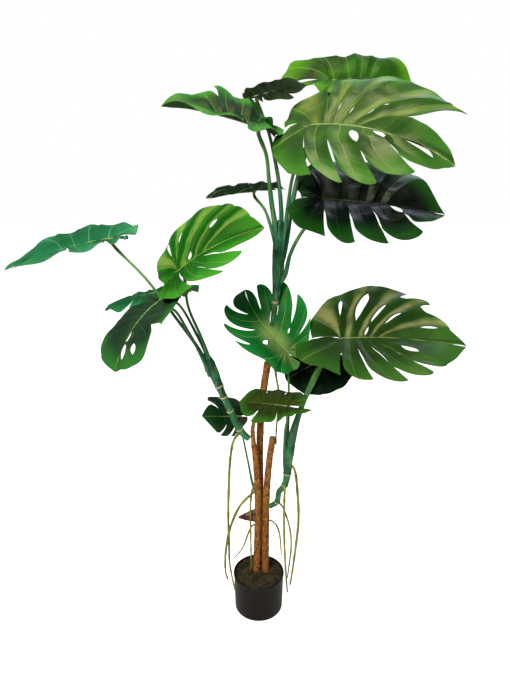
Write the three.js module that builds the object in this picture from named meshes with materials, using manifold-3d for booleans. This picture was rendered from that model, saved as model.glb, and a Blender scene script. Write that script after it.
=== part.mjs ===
// A tall monstera in a plain black nursery pot, in millimetres, +Z up.
// The origin is the centre of the pot's foot, on the surface that it stands on; the front is -Y.
// Three woody canes stand in the soil. The rear one carries the crown, and a green side shoot grows
// from each of the other two. Every leaf is one solid: a split blade on its own petiole, which stands
// in a plain hole in the shoot that bears it. Aerial roots hang from the canes beside the pot.
import * as THREE from "three";
import { mergeVertices } from "three/addons/utils/BufferGeometryUtils.js";
import Module from "manifold-3d";

const wasm = await Module();
wasm.setup();

// ---- driving dimensions ----
const CLEARANCE = 0.3; // between a piece and what it stands in or against

const POT = { height: 140, footRadius: 83, rimRadius: 87.5, wall: 3, floor: 4, sides: 32 };
const RIM = { depth: 9, stand: 1.5 }; // a shallow band round the mouth
const SOIL = { drop: 5, crown: 3 }; // how far the soil lies below the rim, and its rise in the middle

const BARK = { sides: 9, ridge: 0.07, collar: 0.06 }; // relief, as shares of a cane's radius
const SHOOT_SIDES = 8;
const PETIOLE_SIDES = 6;
const ROOT_SIDES = 5;

const BLADE = {
  thickness: 1.2,
  ribDepth: 2.4, // how far the midrib stands out below the blade at the joint
  lead: [0.7, 0.7], // share of the midrib that bears side veins, left and right
  fan: [0.6, 0.6], // from this share of the margin to the sinus the veins all spring from the joint
  slit: 0.11, // half a split's width at the margin, as a share of the narrower lobe beside it
  bridge: 0.42, // the most that half a hole may take of the narrower lobe beside it
  slant: 0.22, // how far the rear corner of a lobe lies behind its pointed front corner
  hook: 1.1, // how far the front corner turns forward, in half widths of the split
  notch: 0.02, // dip in the margin where two lobes stay joined
  neck: 13, // the straight end of the petiole below the blade
  parting: 0.15, // how far apart two parts of a blade lie that would else meet in one point
};
const MARGIN_ANGLES = [0, 35, 70, 105, 140, 176]; // degrees from the tip, round the joint
const SEAMS = [0, 0.15, 0.25, 0.35, 0.48, 0.65, 1]; // where lobes meet, tip to sinus
const COLUMNS = [2, 2, 2, 2, 2, 3]; // strips in each lobe
const LARGE_ROWS = [0, 0.15, 0.3, 0.5, 0.75, 1]; // steps from midrib to margin
const SMALL_ROWS = [0, 0.3, 0.5, 0.75, 1];

// Woody canes: a centreline and a radius at its two ends.
const CANES = {
  cane_front_left: {
    path: [[-6, 8, 40], [-6, 8, 129], [-3, 0, 420], [-10, -6, 579], [-18, -11, 655], [-20, -13, 700],
      [-12, -15, 738]],
    radii: [12.5, 12, 11.5, 10, 5],
    steps: 18,
  },
  cane_front_right: {
    path: [[24, 6, 40], [24, 6, 126], [24, 2, 419], [34, 0, 575], [45, -2, 662]],
    radii: [12.5, 12, 11.5, 10.5, 10],
    steps: 16,
  },
  cane_rear: {
    path: [[5, 36, 40], [5, 36, 134], [4, 35, 405], [3, 34, 630], [11, 32, 778], [27, 32, 905]],
    radii: [12, 11.5, 11.5, 11, 11, 11],
    steps: 18,
  },
};

// Green shoots: a centreline, evenly spaced radii and the heights of the ringed nodes along it.
const SHOOTS = {
  stem_crown: {
    path: [[24.5, 32, 888], [36, 32, 980], [48, 32, 1098], [53, 32, 1150], [56, 31, 1223], [57, 30, 1312],
      [57, 30, 1345]],
    radii: [7.5, 9, 8.5, 8.5, 9, 13, 17.5, 18.5, 17.5, 5],
    rings: [0.28, 0.47],
    steps: 24,
  },
  shoot_left: {
    path: [[-34, -11, 664], [-51, -15, 683], [-66, -22, 712], [-88, -30, 765], [-108, -36, 818],
      [-124, -40, 862], [-150, -46, 938], [-161, -47, 970]],
    radii: [10, 11.5, 11.5, 11, 10.5, 10.5, 13, 16, 15.5, 5],
    rings: [0.15, 0.37, 0.52, 0.64],
    steps: 22,
  },
  shoot_right: {
    path: [[38, -4, 407], [60, -14, 431], [66, -18, 471], [84, -24, 502], [91, -28, 546], [92, -30, 600],
      [97, -30, 650], [99, -31, 685]],
    radii: [8.5, 9, 9, 10, 11.5, 14.5, 17, 17.5, 5],
    rings: [0.115, 0.376, 0.53],
    steps: 22,
  },
};

// Aerial roots, from where each leaves its cane to its free end.
const ROOTS = {
  root_left_long: {
    from: "shoot_left",
    radius: 4.2,
    path: [[-57, -20, 693], [-78, -32, 672], [-90, -38, 619], [-99, -42, 470], [-101, -42, 374],
      [-100, -42, 310], [-99, -42, 211], [-90, -48, 148], [-80, -56, 100]],
  },
  root_left_arch: {
    from: "cane_front_left",
    radius: 4.4,
    path: [[-5, -4, 474], [-26, -18, 461], [-59, -32, 432], [-86, -50, 383], [-104, -60, 317],
      [-113, -62, 231], [-111, -62, 184], [-104, -60, 152]],
  },
  root_into_soil: {
    from: "cane_front_left",
    radius: 3.2,
    path: [[-6, 2, 488], [-20, -4, 477], [-27, -12, 433], [-28, -15, 356], [-27, -8, 253],
      [-26, 4, 165], [-26, 12, 115]],
  },
  root_left_short: {
    from: "cane_front_left",
    radius: 2.8,
    path: [[-6, 6, 330], [-24, 10, 318], [-36, 6, 292], [-56, -2, 238], [-88, -18, 203]],
  },
  root_right_inner: {
    from: "shoot_right",
    radius: 3,
    path: [[60, -16, 432], [73, -22, 425], [88, -24, 392], [104, -27, 333], [109, -32, 268],
      [102, -42, 190], [97, -46, 148]],
  },
  root_right_middle: {
    from: "shoot_right",
    radius: 3.8,
    path: [[84, -28, 505], [83, -42, 490], [82, -48, 406], [85, -58, 289], [90, -68, 197],
      [97, -74, 113]],
  },
  root_right_outer: {
    from: "shoot_right",
    radius: 4.4,
    path: [[92, -28, 580], [110, -33, 571], [126, -34, 470], [131, -34, 367], [124, -36, 268],
      [112, -46, 160], [106, -52, 122]],
  },
  root_right_short: {
    from: "cane_front_right",
    radius: 2.8,
    path: [[28, 6, 345], [45, 10, 338], [60, 10, 322], [71, 8, 287], [79, 6, 200]],
  },
  root_rear_drop: {
    from: "stem_crown",
    radius: 3.4,
    path: [[31, 31, 920], [45, 30, 900], [56, 33, 845], [64, 33, 790], [61, 26, 735], [56, 20, 680],
      [55, 12, 625]],
  },
};

// A dry papery sheath that still clings to the front left cane.
const DRY_SHEATH = { base: [-8, 6, 365], tip: [-70, -2, 362], halfHeight: 26, hollow: 12, thickness: 1.6 };

// Leaves. base is the joint of blade and petiole, tip the end of the midrib, face the way the upper side
// looks. droop bends the midrib, fold and curl bend each half away from it, all in degrees, left then right
// as seen from above with the tip ahead. wave is the height of the ripples in the margin, and reach gives
// the margin's distance from the joint at MARGIN_ANGLES, both as shares of the midrib. split gives for each
// seam where its cut starts on the way to the margin (1: none), and holes where each hole in a seam starts
// and ends on that way, with half its width as a share of the margin. points draws a lobe's front corner out
// ahead and aside. A leaf may set its own seams, slit, lead or fan, and a small one has fewer rows.
// petiole leads from inside the limb that bears the leaf to the joint, with its radii below.
const LEAVES = {
  leaf_crown_right: {
    on: "stem_crown", base: [133, -52, 1597], tip: [466, -217, 1499], face: [-0.04, -0.57, 0.82],
    droop: 41, fold: [11, 10], curl: [15, 23], wave: 0.015, slit: 0.1, lead: [0.4, 0.7], fan: [0.75, 0.35],
    reach: [[1, 0.9, 0.66, 0.55, 0.38, 0.22], [1, 0.82, 0.6, 0.38, 0.23, 0.15]],
    seams: [[0, 0.1, 0.19, 0.33, 0.46, 0.58, 1], [0, 0.045, 0.12, 0.2, 0.28, 0.36, 1]],
    split: [[0.62, 1, 1, 1, 1], [1, 0.5, 0.6, 0.42, 0.34]],
    holes: [{ 2: [[0.19, 0.31, 0.005], [0.4, 0.48, 0.008]], 3: [[0.14, 0.23, 0.006], [0.64, 0.84, 0.006]],
      4: [[0.17, 0.29, 0.006], [0.53, 0.71, 0.008]], 5: [[0.48, 0.8, 0.014]] }, { 1: [[0.1, 0.8, 0.014]],
      2: [[0.04, 0.32, 0.016]], 3: [[0.17, 0.44, 0.013]] }], points: [{ 1: [0.12, 0.05] }, {}],
    petiole: [[66, 20, 1250], [71, 17, 1300], [80, 5, 1389], [95, -15, 1484]], radii: [5, 5, 5, 4.5],
  },
  leaf_crown_rear: {
    on: "stem_crown", base: [219, 255, 1741], tip: [474, 273, 1738], face: [0.06, -0.64, 0.77], droop: 16,
    fold: [27, 40], curl: [60, 53], wave: 0.025,
    reach: [[1, 0.94, 0.81, 0.75, 0.61, 0.6], [1, 0.93, 0.62, 0.44, 0.36, 0.51]],
    split: [[1, 1, 1, 1, 1], [1, 1, 1, 0.7, 1]],
    petiole: [[62, 34, 1205], [73, 36, 1250], [81, 39, 1300], [89, 45, 1358], [117, 72, 1482]],
    radii: [7.5, 7.5, 7, 6.5, 5.5],
  },
  leaf_crown_left: {
    on: "stem_crown", base: [6, 9, 1592], tip: [-253, -66, 1646], face: [0.26, -0.21, 0.94], droop: 12,
    fold: [21, 18], curl: [27, -6], wave: 0.03,
    reach: [[1, 0.66, 0.56, 0.37, 0.18, 0.15], [1, 0.71, 0.49, 0.29, 0.22, 0.2]],
    split: [[1, 1, 0.6, 1, 1], [1, 0.6, 1, 1, 1]],
    petiole: [[50, 20, 1262], [43, 17, 1340], [35, 14, 1388], [26, 11, 1457], [18, 10, 1523]],
    radii: [7.5, 7.5, 7, 6.5, 5],
  },
  leaf_crown_back: {
    on: "stem_crown", base: [-16, 120, 1681], tip: [137, 145, 1715], face: [-0.14, -0.44, 0.89],
    small: true, droop: 9, fold: [21, 25], curl: [44, 34], wave: 0.02,
    reach: [[1, 0.84, 0.56, 0.32, 0.23, 0.17], [1, 0.88, 0.6, 0.28, 0.16, 0.15]],
    split: [[1, 1, 1, 1, 1], [1, 0.6, 1, 0.7, 1]],
    petiole: [[60, 43, 1268], [64, 43, 1340], [58, 50, 1428], [47, 66, 1496], [24, 90, 1591]],
    radii: [6.5, 6, 6, 5.5, 4.5],
  },
  leaf_crown_lower: {
    on: "stem_crown", base: [177, 17, 1404], tip: [520, -13, 1365], face: [0.06, -0.44, 0.9], droop: 10,
    fold: [14, 14], curl: [16, 23], wave: 0.015, lead: [0.7, 0.8], fan: [0.6, 0.5],
    reach: [[1, 0.9, 0.66, 0.52, 0.28, 0.17], [1, 0.86, 0.65, 0.5, 0.36, 0.17]],
    seams: [[0, 0.15, 0.25, 0.35, 0.48, 0.65, 1], [0, 0.16, 0.28, 0.38, 0.49, 0.7, 1]],
    split: [[1, 1, 1, 1, 1], [0.5, 0.36, 0.44, 0.44, 1]], holes: [{}, { 1: [[0.05, 0.44, 0.016]] }],
    petiole: [[62, 27, 1160], [76, 22, 1186], [89, 14, 1246], [111, 8, 1296], [138, 6, 1336]],
    radii: [6.5, 6, 5.5, 5.5, 5],
  },
  leaf_crown_small: {
    on: "stem_crown", base: [-10, 118, 1421], tip: [-159, 112, 1396], face: [-0.1, -0.1, 0.98],
    small: true, droop: 14, fold: [40, 34], curl: [50, 50], wave: 0.03,
    reach: [[1, 0.9, 0.66, 0.48, 0.38, 0.4], [1, 0.9, 0.66, 0.54, 0.56, 0.6]],
    split: [[1, 0.35, 1, 0.4, 1], [1, 0.35, 1, 0.4, 1]],
    petiole: [[50, 38, 1225], [46, 39, 1270], [34, 50, 1320], [16, 66, 1370]], radii: [5, 5, 5, 4],
  },
  leaf_left_upright: {
    on: "shoot_left", base: [-230, -54, 1212], tip: [12, -125, 1344], face: [-0.53, -0.45, 0.72],
    droop: 29, fold: [14, 16], curl: [13, 9], wave: 0.015, lead: [0.5, 0.4], fan: [0.35, 0.4],
    reach: [[1, 0.82, 0.66, 0.55, 0.46, 0.24], [1, 0.88, 0.6, 0.4, 0.28, 0.16]],
    seams: [[0, 0.08, 0.16, 0.23, 0.4, 0.6, 1], [0, 0.14, 0.23, 0.34, 0.5, 0.7, 1]],
    split: [[1, 1, 1, 1, 1], [0.35, 0.5, 0.2, 1, 1]],
    holes: [{ 2: [[0.54, 0.7, 0.012]], 3: [[0.03, 0.14, 0.016]], 4: [[0.46, 0.78, 0.02]], 5: [[0.36, 0.82,
      0.024]] }, {}], petiole: [[-143, -49, 905], [-149, -52, 948], [-172, -54, 1020], [-205, -56, 1110]],
    radii: [5.5, 5, 4.5, 4],
  },
  leaf_left_far: {
    on: "shoot_left", base: [-427, 29, 1293], tip: [-718, -53, 1209], face: [-0.25, -0.09, 0.96],
    droop: 20, fold: [5, 19], curl: [14, 22], wave: 0.02,
    reach: [[1, 0.6, 0.38, 0.22, 0.16, 0.14], [1, 0.76, 0.59, 0.45, 0.33, 0.19]],
    split: [[1, 0.7, 1, 0.7, 1], [1, 0.7, 1, 0.7, 1]],
    petiole: [[-156, -46, 905], [-170, -50, 960], [-245, -45, 1075], [-330, -20, 1185]],
    radii: [5.5, 5, 4.5, 4],
  },
  leaf_left_hanging: {
    on: "shoot_left", base: [-281, -94, 1135], tip: [-382, -247, 982], face: [-0.36, -0.53, 0.77],
    droop: 50, fold: [7, -2], curl: [-23, 34], wave: 0.015, lead: [0.5, 0.6], fan: [0.95, 0.6],
    reach: [[1, 0.93, 0.5, 0.3, 0.25, 0.22], [1, 0.94, 0.7, 0.41, 0.22, 0.15]],
    seams: [[0, 0.05, 0.11, 0.27, 0.45, 0.65, 1], [0, 0.15, 0.25, 0.35, 0.48, 0.65, 1]],
    split: [[1, 1, 0.6, 1, 1], [1, 1, 1, 1, 1]],
    holes: [{ 1: [[0.1, 0.5, 0.018], [0.58, 0.84, 0.014]], 2: [[0.62, 0.8, 0.014]] }, {}],
    points: [{ 3: [0.1, 0.03] }, {}],
    petiole: [[-148, -57, 895], [-163, -60, 940], [-205, -66, 1035], [-246, -78, 1108]],
    radii: [5.5, 5, 4.5, 4],
  },
  leaf_left_low: {
    on: "shoot_left", base: [-285, 95, 1120], tip: [-482, 80, 1060], face: [-0.1, 0, 0.98], small: true,
    droop: 25, fold: [8, 8], curl: [30, 30], wave: 0.03,
    reach: [[1, 0.8, 0.52, 0.42, 0.4, 0.36], [1, 0.84, 0.66, 0.58, 0.56, 0.46]],
    split: [[1, 0.35, 1, 0.4, 1], [1, 0.35, 1, 0.4, 1]],
    petiole: [[-146, -38, 895], [-157, -28, 945], [-192, 2, 1012], [-240, 42, 1084]],
    radii: [5, 4.5, 4.5, 4],
  },
  leaf_centre: {
    on: "shoot_right", base: [82, 14, 953], tip: [-51, 115, 1122], face: [-0.49, -0.86, 0.13], droop: 55,
    fold: [59, -12], curl: [8, 7], wave: 0.02, slit: 0.15, lead: [0.9, 0.5], fan: [0.35, 0.35],
    reach: [[1, 0.79, 0.34, 0.31, 0.27, 0.26], [1, 0.91, 0.61, 0.34, 0.25, 0.22]],
    seams: [[0, 0.12, 0.2, 0.27, 0.5, 0.75, 1], [0, 0.08, 0.16, 0.3, 0.46, 0.72, 1]],
    split: [[0.24, 0.24, 0.62, 1, 1], [0.5, 0.42, 0.48, 0.45, 1]],
    holes: [{ 3: [[0.16, 0.295, 0.012]], 4: [[0.2, 0.32, 0.01]] }, { 2: [[0.2, 0.31, 0.01]], 3: [[0.29,
      0.37, 0.008]] }], petiole: [[88, -20, 605], [90, -18, 660], [93, -4, 760], [90, 6, 880]],
    radii: [5, 4.5, 4, 3.5],
  },
  leaf_right_broad: {
    on: "shoot_right", base: [237, -56, 1013], tip: [582, -120, 1006], face: [-0.05, -0.35, 0.93],
    droop: 21, fold: [14, 16], curl: [11, 17], wave: 0.012, slit: 0.1, lead: [0.4, 0.35], fan: [0.5, 0.55],
    reach: [[1, 0.83, 0.7, 0.5, 0.34, 0.24], [1, 0.85, 0.64, 0.44, 0.42, 0.38]],
    seams: [[0, 0.08, 0.17, 0.26, 0.38, 0.53, 1], [0, 0.13, 0.19, 0.27, 0.37, 0.5, 1]],
    split: [[1, 0.86, 0.86, 1, 1], [1, 0.34, 0.31, 0.36, 0.5]],
    holes: [{ 1: [[0.66, 0.84, 0.005]], 2: [[0.31, 0.58, 0.006]], 3: [[0.05, 0.14, 0.012], [0.24, 0.58,
      0.009]], 4: [[0.27, 0.72, 0.026]], 5: [[0.39, 0.76, 0.016]] }, { 1: [[0.52, 0.7, 0.014]] }],
    petiole: [[97, -36, 625], [100, -37, 672], [117, -40, 743], [146, -42, 835], [180, -47, 925]],
    radii: [10, 10, 9, 7.5, 5.5],
  },
  leaf_right_shaded: {
    on: "shoot_right", base: [220, 122, 884], tip: [88, 108, 816], face: [0.1, -0.55, 0.83], small: true,
    droop: 25, fold: [8, 8], curl: [30, 30], wave: 0.02,
    reach: [[1, 0.92, 0.78, 0.72, 0.66, 0.46], [1, 0.92, 0.78, 0.72, 0.66, 0.46]],
    split: [[1, 1, 1, 1, 1], [1, 0.6, 1, 0.6, 1]],
    petiole: [[106, -18, 605], [113, -12, 662], [140, 20, 760], [185, 55, 845]], radii: [5.5, 5, 4.5, 4],
  },
  leaf_front_low: {
    on: "shoot_right", base: [82, -101, 817], tip: [-62, -47, 806], face: [-0.22, -0.43, 0.87],
    small: true, droop: 9, fold: [33, 13], curl: [37, 64], wave: 0.03, slit: 0.18,
    reach: [[1, 0.84, 0.58, 0.36, 0.36, 0.52], [1, 0.92, 0.7, 0.56, 0.42, 0.3]],
    split: [[1, 0.4, 1, 0.4, 1], [1, 0.4, 1, 0.4, 1]],
    petiole: [[80, -38, 600], [80, -42, 655], [80, -58, 715], [84, -80, 765]], radii: [4.5, 4.5, 4, 3.5],
  },
  leaf_rear_low: {
    on: "cane_rear", base: [-63, 72, 702], tip: [-181, -5, 739], face: [0.59, -0.76, 0.28], small: true,
    droop: 48, fold: [-6, -9], curl: [30, 67], wave: 0.02, slit: 0.15,
    reach: [[1, 0.69, 0.52, 0.48, 0.5, 0.5], [1, 0.93, 0.76, 0.66, 0.64, 0.66]],
    split: [[1, 0.35, 1, 0.35, 1], [0.4, 1, 0.35, 1, 1]],
    petiole: [[1, 33, 420], [-16, 34, 450], [-38, 44, 556], [-58, 60, 650]], radii: [4.5, 4, 3.5, 3.2],
  },
};

const COLOURS = {
  pot: [0x1c1a19, 0.55], soil: [0x33291f, 0.95], bark: [0x8a5a34, 0.9], shoot: [0x1f6b34, 0.5],
  leaf: [0x2c6b25, 0.4], root: [0x8e8f3c, 0.7], husk: [0x7d5246, 0.85],
};

// ---- small helpers ----
const vec = (p) => new THREE.Vector3(...p);
const rad = THREE.MathUtils.degToRad;
const material = (kind) =>
  new THREE.MeshStandardMaterial({ color: COLOURS[kind][0], roughness: COLOURS[kind][1], metalness: 0 });

/** A geometry from flat lists of points and triangle corners. */
function geometryOf(positions, corners) {
  return new THREE.BufferGeometry()
    .setAttribute("position", new THREE.Float32BufferAttribute(positions, 3))
    .setIndex(corners);
}

/** A closed geometry as a solid that can be joined and cut. */
function solidOf(geometry) {
  const bare = geometry.clone();
  bare.deleteAttribute("normal");
  bare.deleteAttribute("uv");
  const merged = mergeVertices(bare, 1e-3);
  return new wasm.Manifold(new wasm.Mesh({
    numProp: 3,
    vertProperties: merged.attributes.position.array,
    triVerts: new Uint32Array(merged.index.array),
  }));
}

/** The largest body of a solid as a named mesh. */
function meshOf(name, solid, kind) {
  const bodies = solid.decompose().sort((a, b) => b.volume() - a.volume());
  const { vertProperties, triVerts } = bodies[0].getMesh();
  const mesh = new THREE.Mesh(geometryOf([...vertProperties], [...triVerts]), material(kind));
  mesh.name = name;
  return mesh;
}

/** Linear interpolation in a list of evenly spaced values, at a share from 0 to 1. */
function along(values, share) {
  const at = share * (values.length - 1);
  const i = Math.min(Math.floor(at), values.length - 2);
  return values[i] + (values[i + 1] - values[i]) * (at - i);
}

/** A round limb along a smooth path, closed at both ends; relief(share, angle) scales its radius. */
function limb(path, radii, sides, steps, { grow = 0, relief = () => 1 } = {}) {
  const curve = new THREE.CatmullRomCurve3(path.map(vec), false, "centripetal");
  const frames = curve.computeFrenetFrames(steps);
  const positions = [];
  const corners = [];
  for (let i = 0; i <= steps; i++) {
    const share = i / steps;
    const centre = curve.getPointAt(share);
    for (let j = 0; j < sides; j++) {
      const angle = (j / sides) * 2 * Math.PI;
      const radius = along(radii, share) * relief(share, angle) + grow;
      const point = centre.clone()
        .addScaledVector(frames.normals[i], radius * Math.cos(angle))
        .addScaledVector(frames.binormals[i], radius * Math.sin(angle));
      positions.push(...point);
      if (i === 0) continue;
      const next = (j + 1) % sides;
      const [a, b] = [(i - 1) * sides + j, (i - 1) * sides + next];
      corners.push(a, b, b + sides, a, b + sides, a + sides);
    }
  }
  const foot = positions.length / 3;
  positions.push(...curve.getPointAt(0).addScaledVector(frames.tangents[0], -grow));
  positions.push(...curve.getPointAt(1).addScaledVector(frames.tangents[steps], grow));
  for (let j = 0; j < sides; j++) {
    const next = (j + 1) % sides;
    corners.push(foot, next, j, foot + 1, steps * sides + j, steps * sides + next);
  }
  return solidOf(geometryOf(positions, corners));
}

// ---- the leaf blade ----

/** The margin of one half, flat, as a smooth curve from the tip round to the sinus. */
function marginOf(reach) {
  return new THREE.SplineCurve(reach.map((r, i) => {
    const angle = rad(MARGIN_ANGLES[i]);
    return new THREE.Vector2(r * Math.cos(angle), r * Math.sin(angle));
  }));
}

/** A point of the flat half blade: m runs along the margin, t along the vein from midrib to margin. */
function veinPoint(leaf, side, margin, m, t) {
  const end = margin.getPoint(m);
  const start = (leaf.lead ?? BLADE.lead)[side] * Math.max(0, 1 - m / (leaf.fan ?? BLADE.fan)[side]);
  const bend = new THREE.Vector2(start + (end.x - start) * 0.25, end.y * 0.55);
  const s = 1 - t;
  return [
    s * s * start + 2 * s * t * bend.x + t * t * end.x,
    2 * s * t * bend.y + t * t * end.y,
  ];
}

/**
 * Half the width of the opening in a seam at t: a split that runs out to the margin, or a hole.
 * The lobe behind a split hooks forward at its end, so that side of the split closes again.
 */
function halfGap(leaf, side, seam, t, hook) {
  if (seam === 0 || seam === SEAMS.length - 1) return 0;
  const seams = leaf.seams?.[side] ?? SEAMS;
  const room = Math.min(seams[seam] - seams[seam - 1], seams[seam + 1] - seams[seam]);
  const start = leaf.split[side][seam - 1];
  if (start < 1 && t > start) {
    const share = (t - start) / (1 - start);
    return (leaf.slit ?? BLADE.slit) * room * (Math.sqrt(share) - hook * share * share);
  }
  const [from, to, half] = (leaf.holes?.[side][seam] ?? []).find(([a, b]) => t > a && t < b) ?? [0, 0, 0];
  if (half === 0) return 0;
  return Math.min(half, BLADE.bridge * room) * Math.sqrt(1 - ((2 * t - from - to) / (to - from)) ** 2);
}

/** The rows at which a seam is open; what stays closed is a bridge between two rows at least. */
function openRows(leaf, side, seam, rows) {
  const last = rows.length - 1;
  const open = rows.map((t, r) => r > 1 && halfGap(leaf, side, seam, t, 0) > 0);
  if (!open[last]) open[last - 1] = false;
  for (let r = last - 1; r > 1; r--) if (!open[r] && open[r + 1]) open[r - 1] = false;
  return open;
}

/** How far a lobe's end draws back from the margin; w runs from 1 at its front corner to -1 at the rear. */
function drawBack(leaf, side, lobe, t, w) {
  const rear = leaf.split[side][lobe] ?? 1;
  const slant = rear < 1 ? BLADE.slant * ((1 - w) / 2) ** 1.7 * Math.max(0, (t - rear) / (1 - rear)) : 0;
  const [forward] = leaf.points?.[side][lobe] ?? [0];
  const isJoined = leaf.split[side][(w > 0 ? lobe : lobe + 1) - 1] === 1;
  const notch = isJoined ? BLADE.notch * w * w * Math.max(0, (t - 0.6) / 0.4) ** 2 : 0;
  return slant + notch - forward * Math.max(0, w) ** 2 * t ** 3;
}

/** The frame of a leaf at its joint, from its base, tip and facing. */
function frameOf(leaf) {
  const chord = vec(leaf.tip).sub(vec(leaf.base));
  const droop = rad(leaf.droop);
  const length = (chord.length() * (droop / 2)) / Math.sin(droop / 2);
  chord.normalize();
  const up = vec(leaf.face);
  up.addScaledVector(chord, -up.dot(chord)).normalize();
  const ahead = chord.clone().multiplyScalar(Math.cos(droop / 2)).addScaledVector(up, Math.sin(droop / 2));
  const normal = up.clone().multiplyScalar(Math.cos(droop / 2)).addScaledVector(chord, -Math.sin(droop / 2));
  return { length, droop, ahead, normal, left: normal.clone().cross(ahead) };
}

/** Bends a flat point (u ahead, v aside, both in leaf lengths; lift above the blade) into place. */
function bendPoint(leaf, frame, side, u, v, lift) {
  const turn = frame.droop * u;
  const out = v * frame.length;
  const slope = rad(leaf.fold[side]) - rad(leaf.curl[side]) * v;
  const aside = out * Math.cos(slope);
  const height = out * Math.sin(slope) + lift * frame.length;
  const ahead = (frame.length * Math.sin(turn)) / frame.droop + height * Math.sin(turn);
  const rise = (frame.length * (Math.cos(turn) - 1)) / frame.droop + height * Math.cos(turn);
  return vec(leaf.base)
    .addScaledVector(frame.ahead, ahead)
    .addScaledVector(frame.normal, rise)
    .addScaledVector(frame.left, side === 0 ? aside : -aside);
}

/** The blade's middle surface: welded points and triangles facing up, and which points are on the midrib. */
function bladeSheet(leaf, frame) {
  const rows = leaf.small ? SMALL_ROWS : LARGE_ROWS;
  const points = [];
  const triangles = [];
  const known = new Map();
  const weld = (point, rib) => {
    const key = [point.x, point.y, point.z].map((x) => Math.round(x * 100)).join();
    if (!known.has(key)) {
      known.set(key, points.length);
      points.push({ point, rib });
    }
    return known.get(key);
  };
  for (const side of [0, 1]) {
    const margin = marginOf(leaf.reach[side]);
    const seams = leaf.seams?.[side] ?? SEAMS;
    for (let lobe = 0; lobe < SEAMS.length - 1; lobe++) {
      const strips = COLUMNS[lobe];
      const [openLow, openHigh] = [lobe, lobe + 1].map((seam) => openRows(leaf, side, seam, rows));
      const columns = Array.from({ length: strips + 1 }, (_, k) => rows.map((t, r) => {
        const [, aside] = leaf.points?.[side][lobe] ?? [0, 0];
        const turned = aside * THREE.MathUtils.smoothstep(t, 0.5, 1);
        const low = seams[lobe] + turned + (openLow[r] ? halfGap(leaf, side, lobe, t, BLADE.hook) : 0);
        const high = seams[lobe + 1] - (openHigh[r] ? halfGap(leaf, side, lobe + 1, t, 0) : 0);
        const m = low + ((high - low) * k) / strips;
        const w = 1 - (2 * k) / strips;
        const [u, v] = veinPoint(leaf, side, margin, m, t - drawBack(leaf, side, lobe, t, w));
        const crease = lobe === 0 ? ((1 - w) / 2) ** 2 : w * w;
        const lift = 0.1 * crease * t * (1 - t) + leaf.wave * t * t * Math.sin(31 * m + leaf.droop);
        return weld(bendPoint(leaf, frame, side, u, v, lift), t === 0 ? Math.max(0, 1 - u) : 0);
      }));
      for (let c = 0; c < strips; c++)
        for (let r = 0; r < rows.length - 1; r++) {
          const [a, b, d, e] = [columns[c][r], columns[c][r + 1], columns[c + 1][r + 1], columns[c + 1][r]];
          const pair = side === 0 ? [[a, b, d], [a, d, e]] : [[a, d, b], [a, e, d]];
          triangles.push(...pair.filter((t) => new Set(t).size === 3));
        }
    }
  }
  return partFans({ points, triangles });
}

/** Parts the fans of triangles that meet in one point only, because a solid can't pinch to an edge there. */
function partFans({ points, triangles }) {
  const around = points.map(() => []);
  triangles.forEach((corners, face) => corners.forEach((i) => around[i].push(face)));
  around.forEach((faces, i) => {
    const rest = new Set(faces.slice(1));
    let fan = faces.slice(0, 1);
    for (let isFirst = true; fan.length > 0; isFirst = false) {
      for (const face of fan)
        for (const other of rest)
          if (triangles[face].some((j) => j !== i && triangles[other].includes(j))) {
            fan.push(other);
            rest.delete(other);
          }
      if (!isFirst) {
        const middle = vec([0, 0, 0]);
        for (const j of triangles[fan[0]]) middle.addScaledVector(points[j].point, 1 / 3);
        const way = middle.sub(points[i].point).setLength(BLADE.parting);
        points.push({ point: points[i].point.clone().add(way), rib: points[i].rib });
        for (const face of fan) triangles[face] = triangles[face].map((j) => (j === i ? points.length - 1 : j));
      }
      fan = [...rest].slice(0, 1);
      for (const face of fan) rest.delete(face);
    }
  });
  return { points, triangles };
}

/** The way from one point of a sheet to another. */
const edgeOf = (points, from, to) => points[to].point.clone().sub(points[from].point);

/** Thickens a sheet into a closed solid, with the midrib standing out below. */
function thicken({ points, triangles }, thickness, ribDepth) {
  const normals = points.map(() => new THREE.Vector3());
  const edges = new Map();
  for (const [a, b, c] of triangles) {
    const face = edgeOf(points, a, b).cross(edgeOf(points, a, c));
    for (const i of [a, b, c]) normals[i].add(face);
    for (const [p, q] of [[a, b], [b, c], [c, a]])
      if (!edges.delete(`${q},${p}`)) edges.set(`${p},${q}`, [p, q]);
  }
  for (const normal of normals) normal.normalize();
  const shift = (p, i, lift) => p.point.clone().addScaledVector(normals[i], lift(p));
  const shifted = (lift) => points.flatMap((p, i) => [...shift(p, i, lift)]);
  const above = shifted(() => thickness / 2);
  const below = shifted(({ rib }) => -thickness / 2 - ribDepth * rib);
  const n = points.length;
  const corners = triangles.flatMap(([a, b, c]) => [a, b, c, a + n, c + n, b + n]);
  for (const [p, q] of edges.values()) corners.push(q, p, p + n, q, p + n, q + n);
  return solidOf(geometryOf([...above, ...below], corners));
}

/** The petiole's centreline, ending upright in the underside of the blade. */
function petiolePath(leaf, frame) {
  const joint = vec(leaf.base).addScaledVector(frame.ahead, 6);
  const neck = joint.clone().addScaledVector(frame.normal, -BLADE.neck);
  return [...leaf.petiole, [...neck], [...joint.addScaledVector(frame.normal, -1)]];
}

// ---- the pieces ----
const plant = new THREE.Group();
const solids = {};

/** A body turned about the upright axis from [radius, height] pairs. */
function turned(profile, sides) {
  const outline = profile.map(([r, z]) => new THREE.Vector2(r, z));
  return new THREE.LatheGeometry(outline, sides).rotateX(Math.PI / 2);
}

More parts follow.
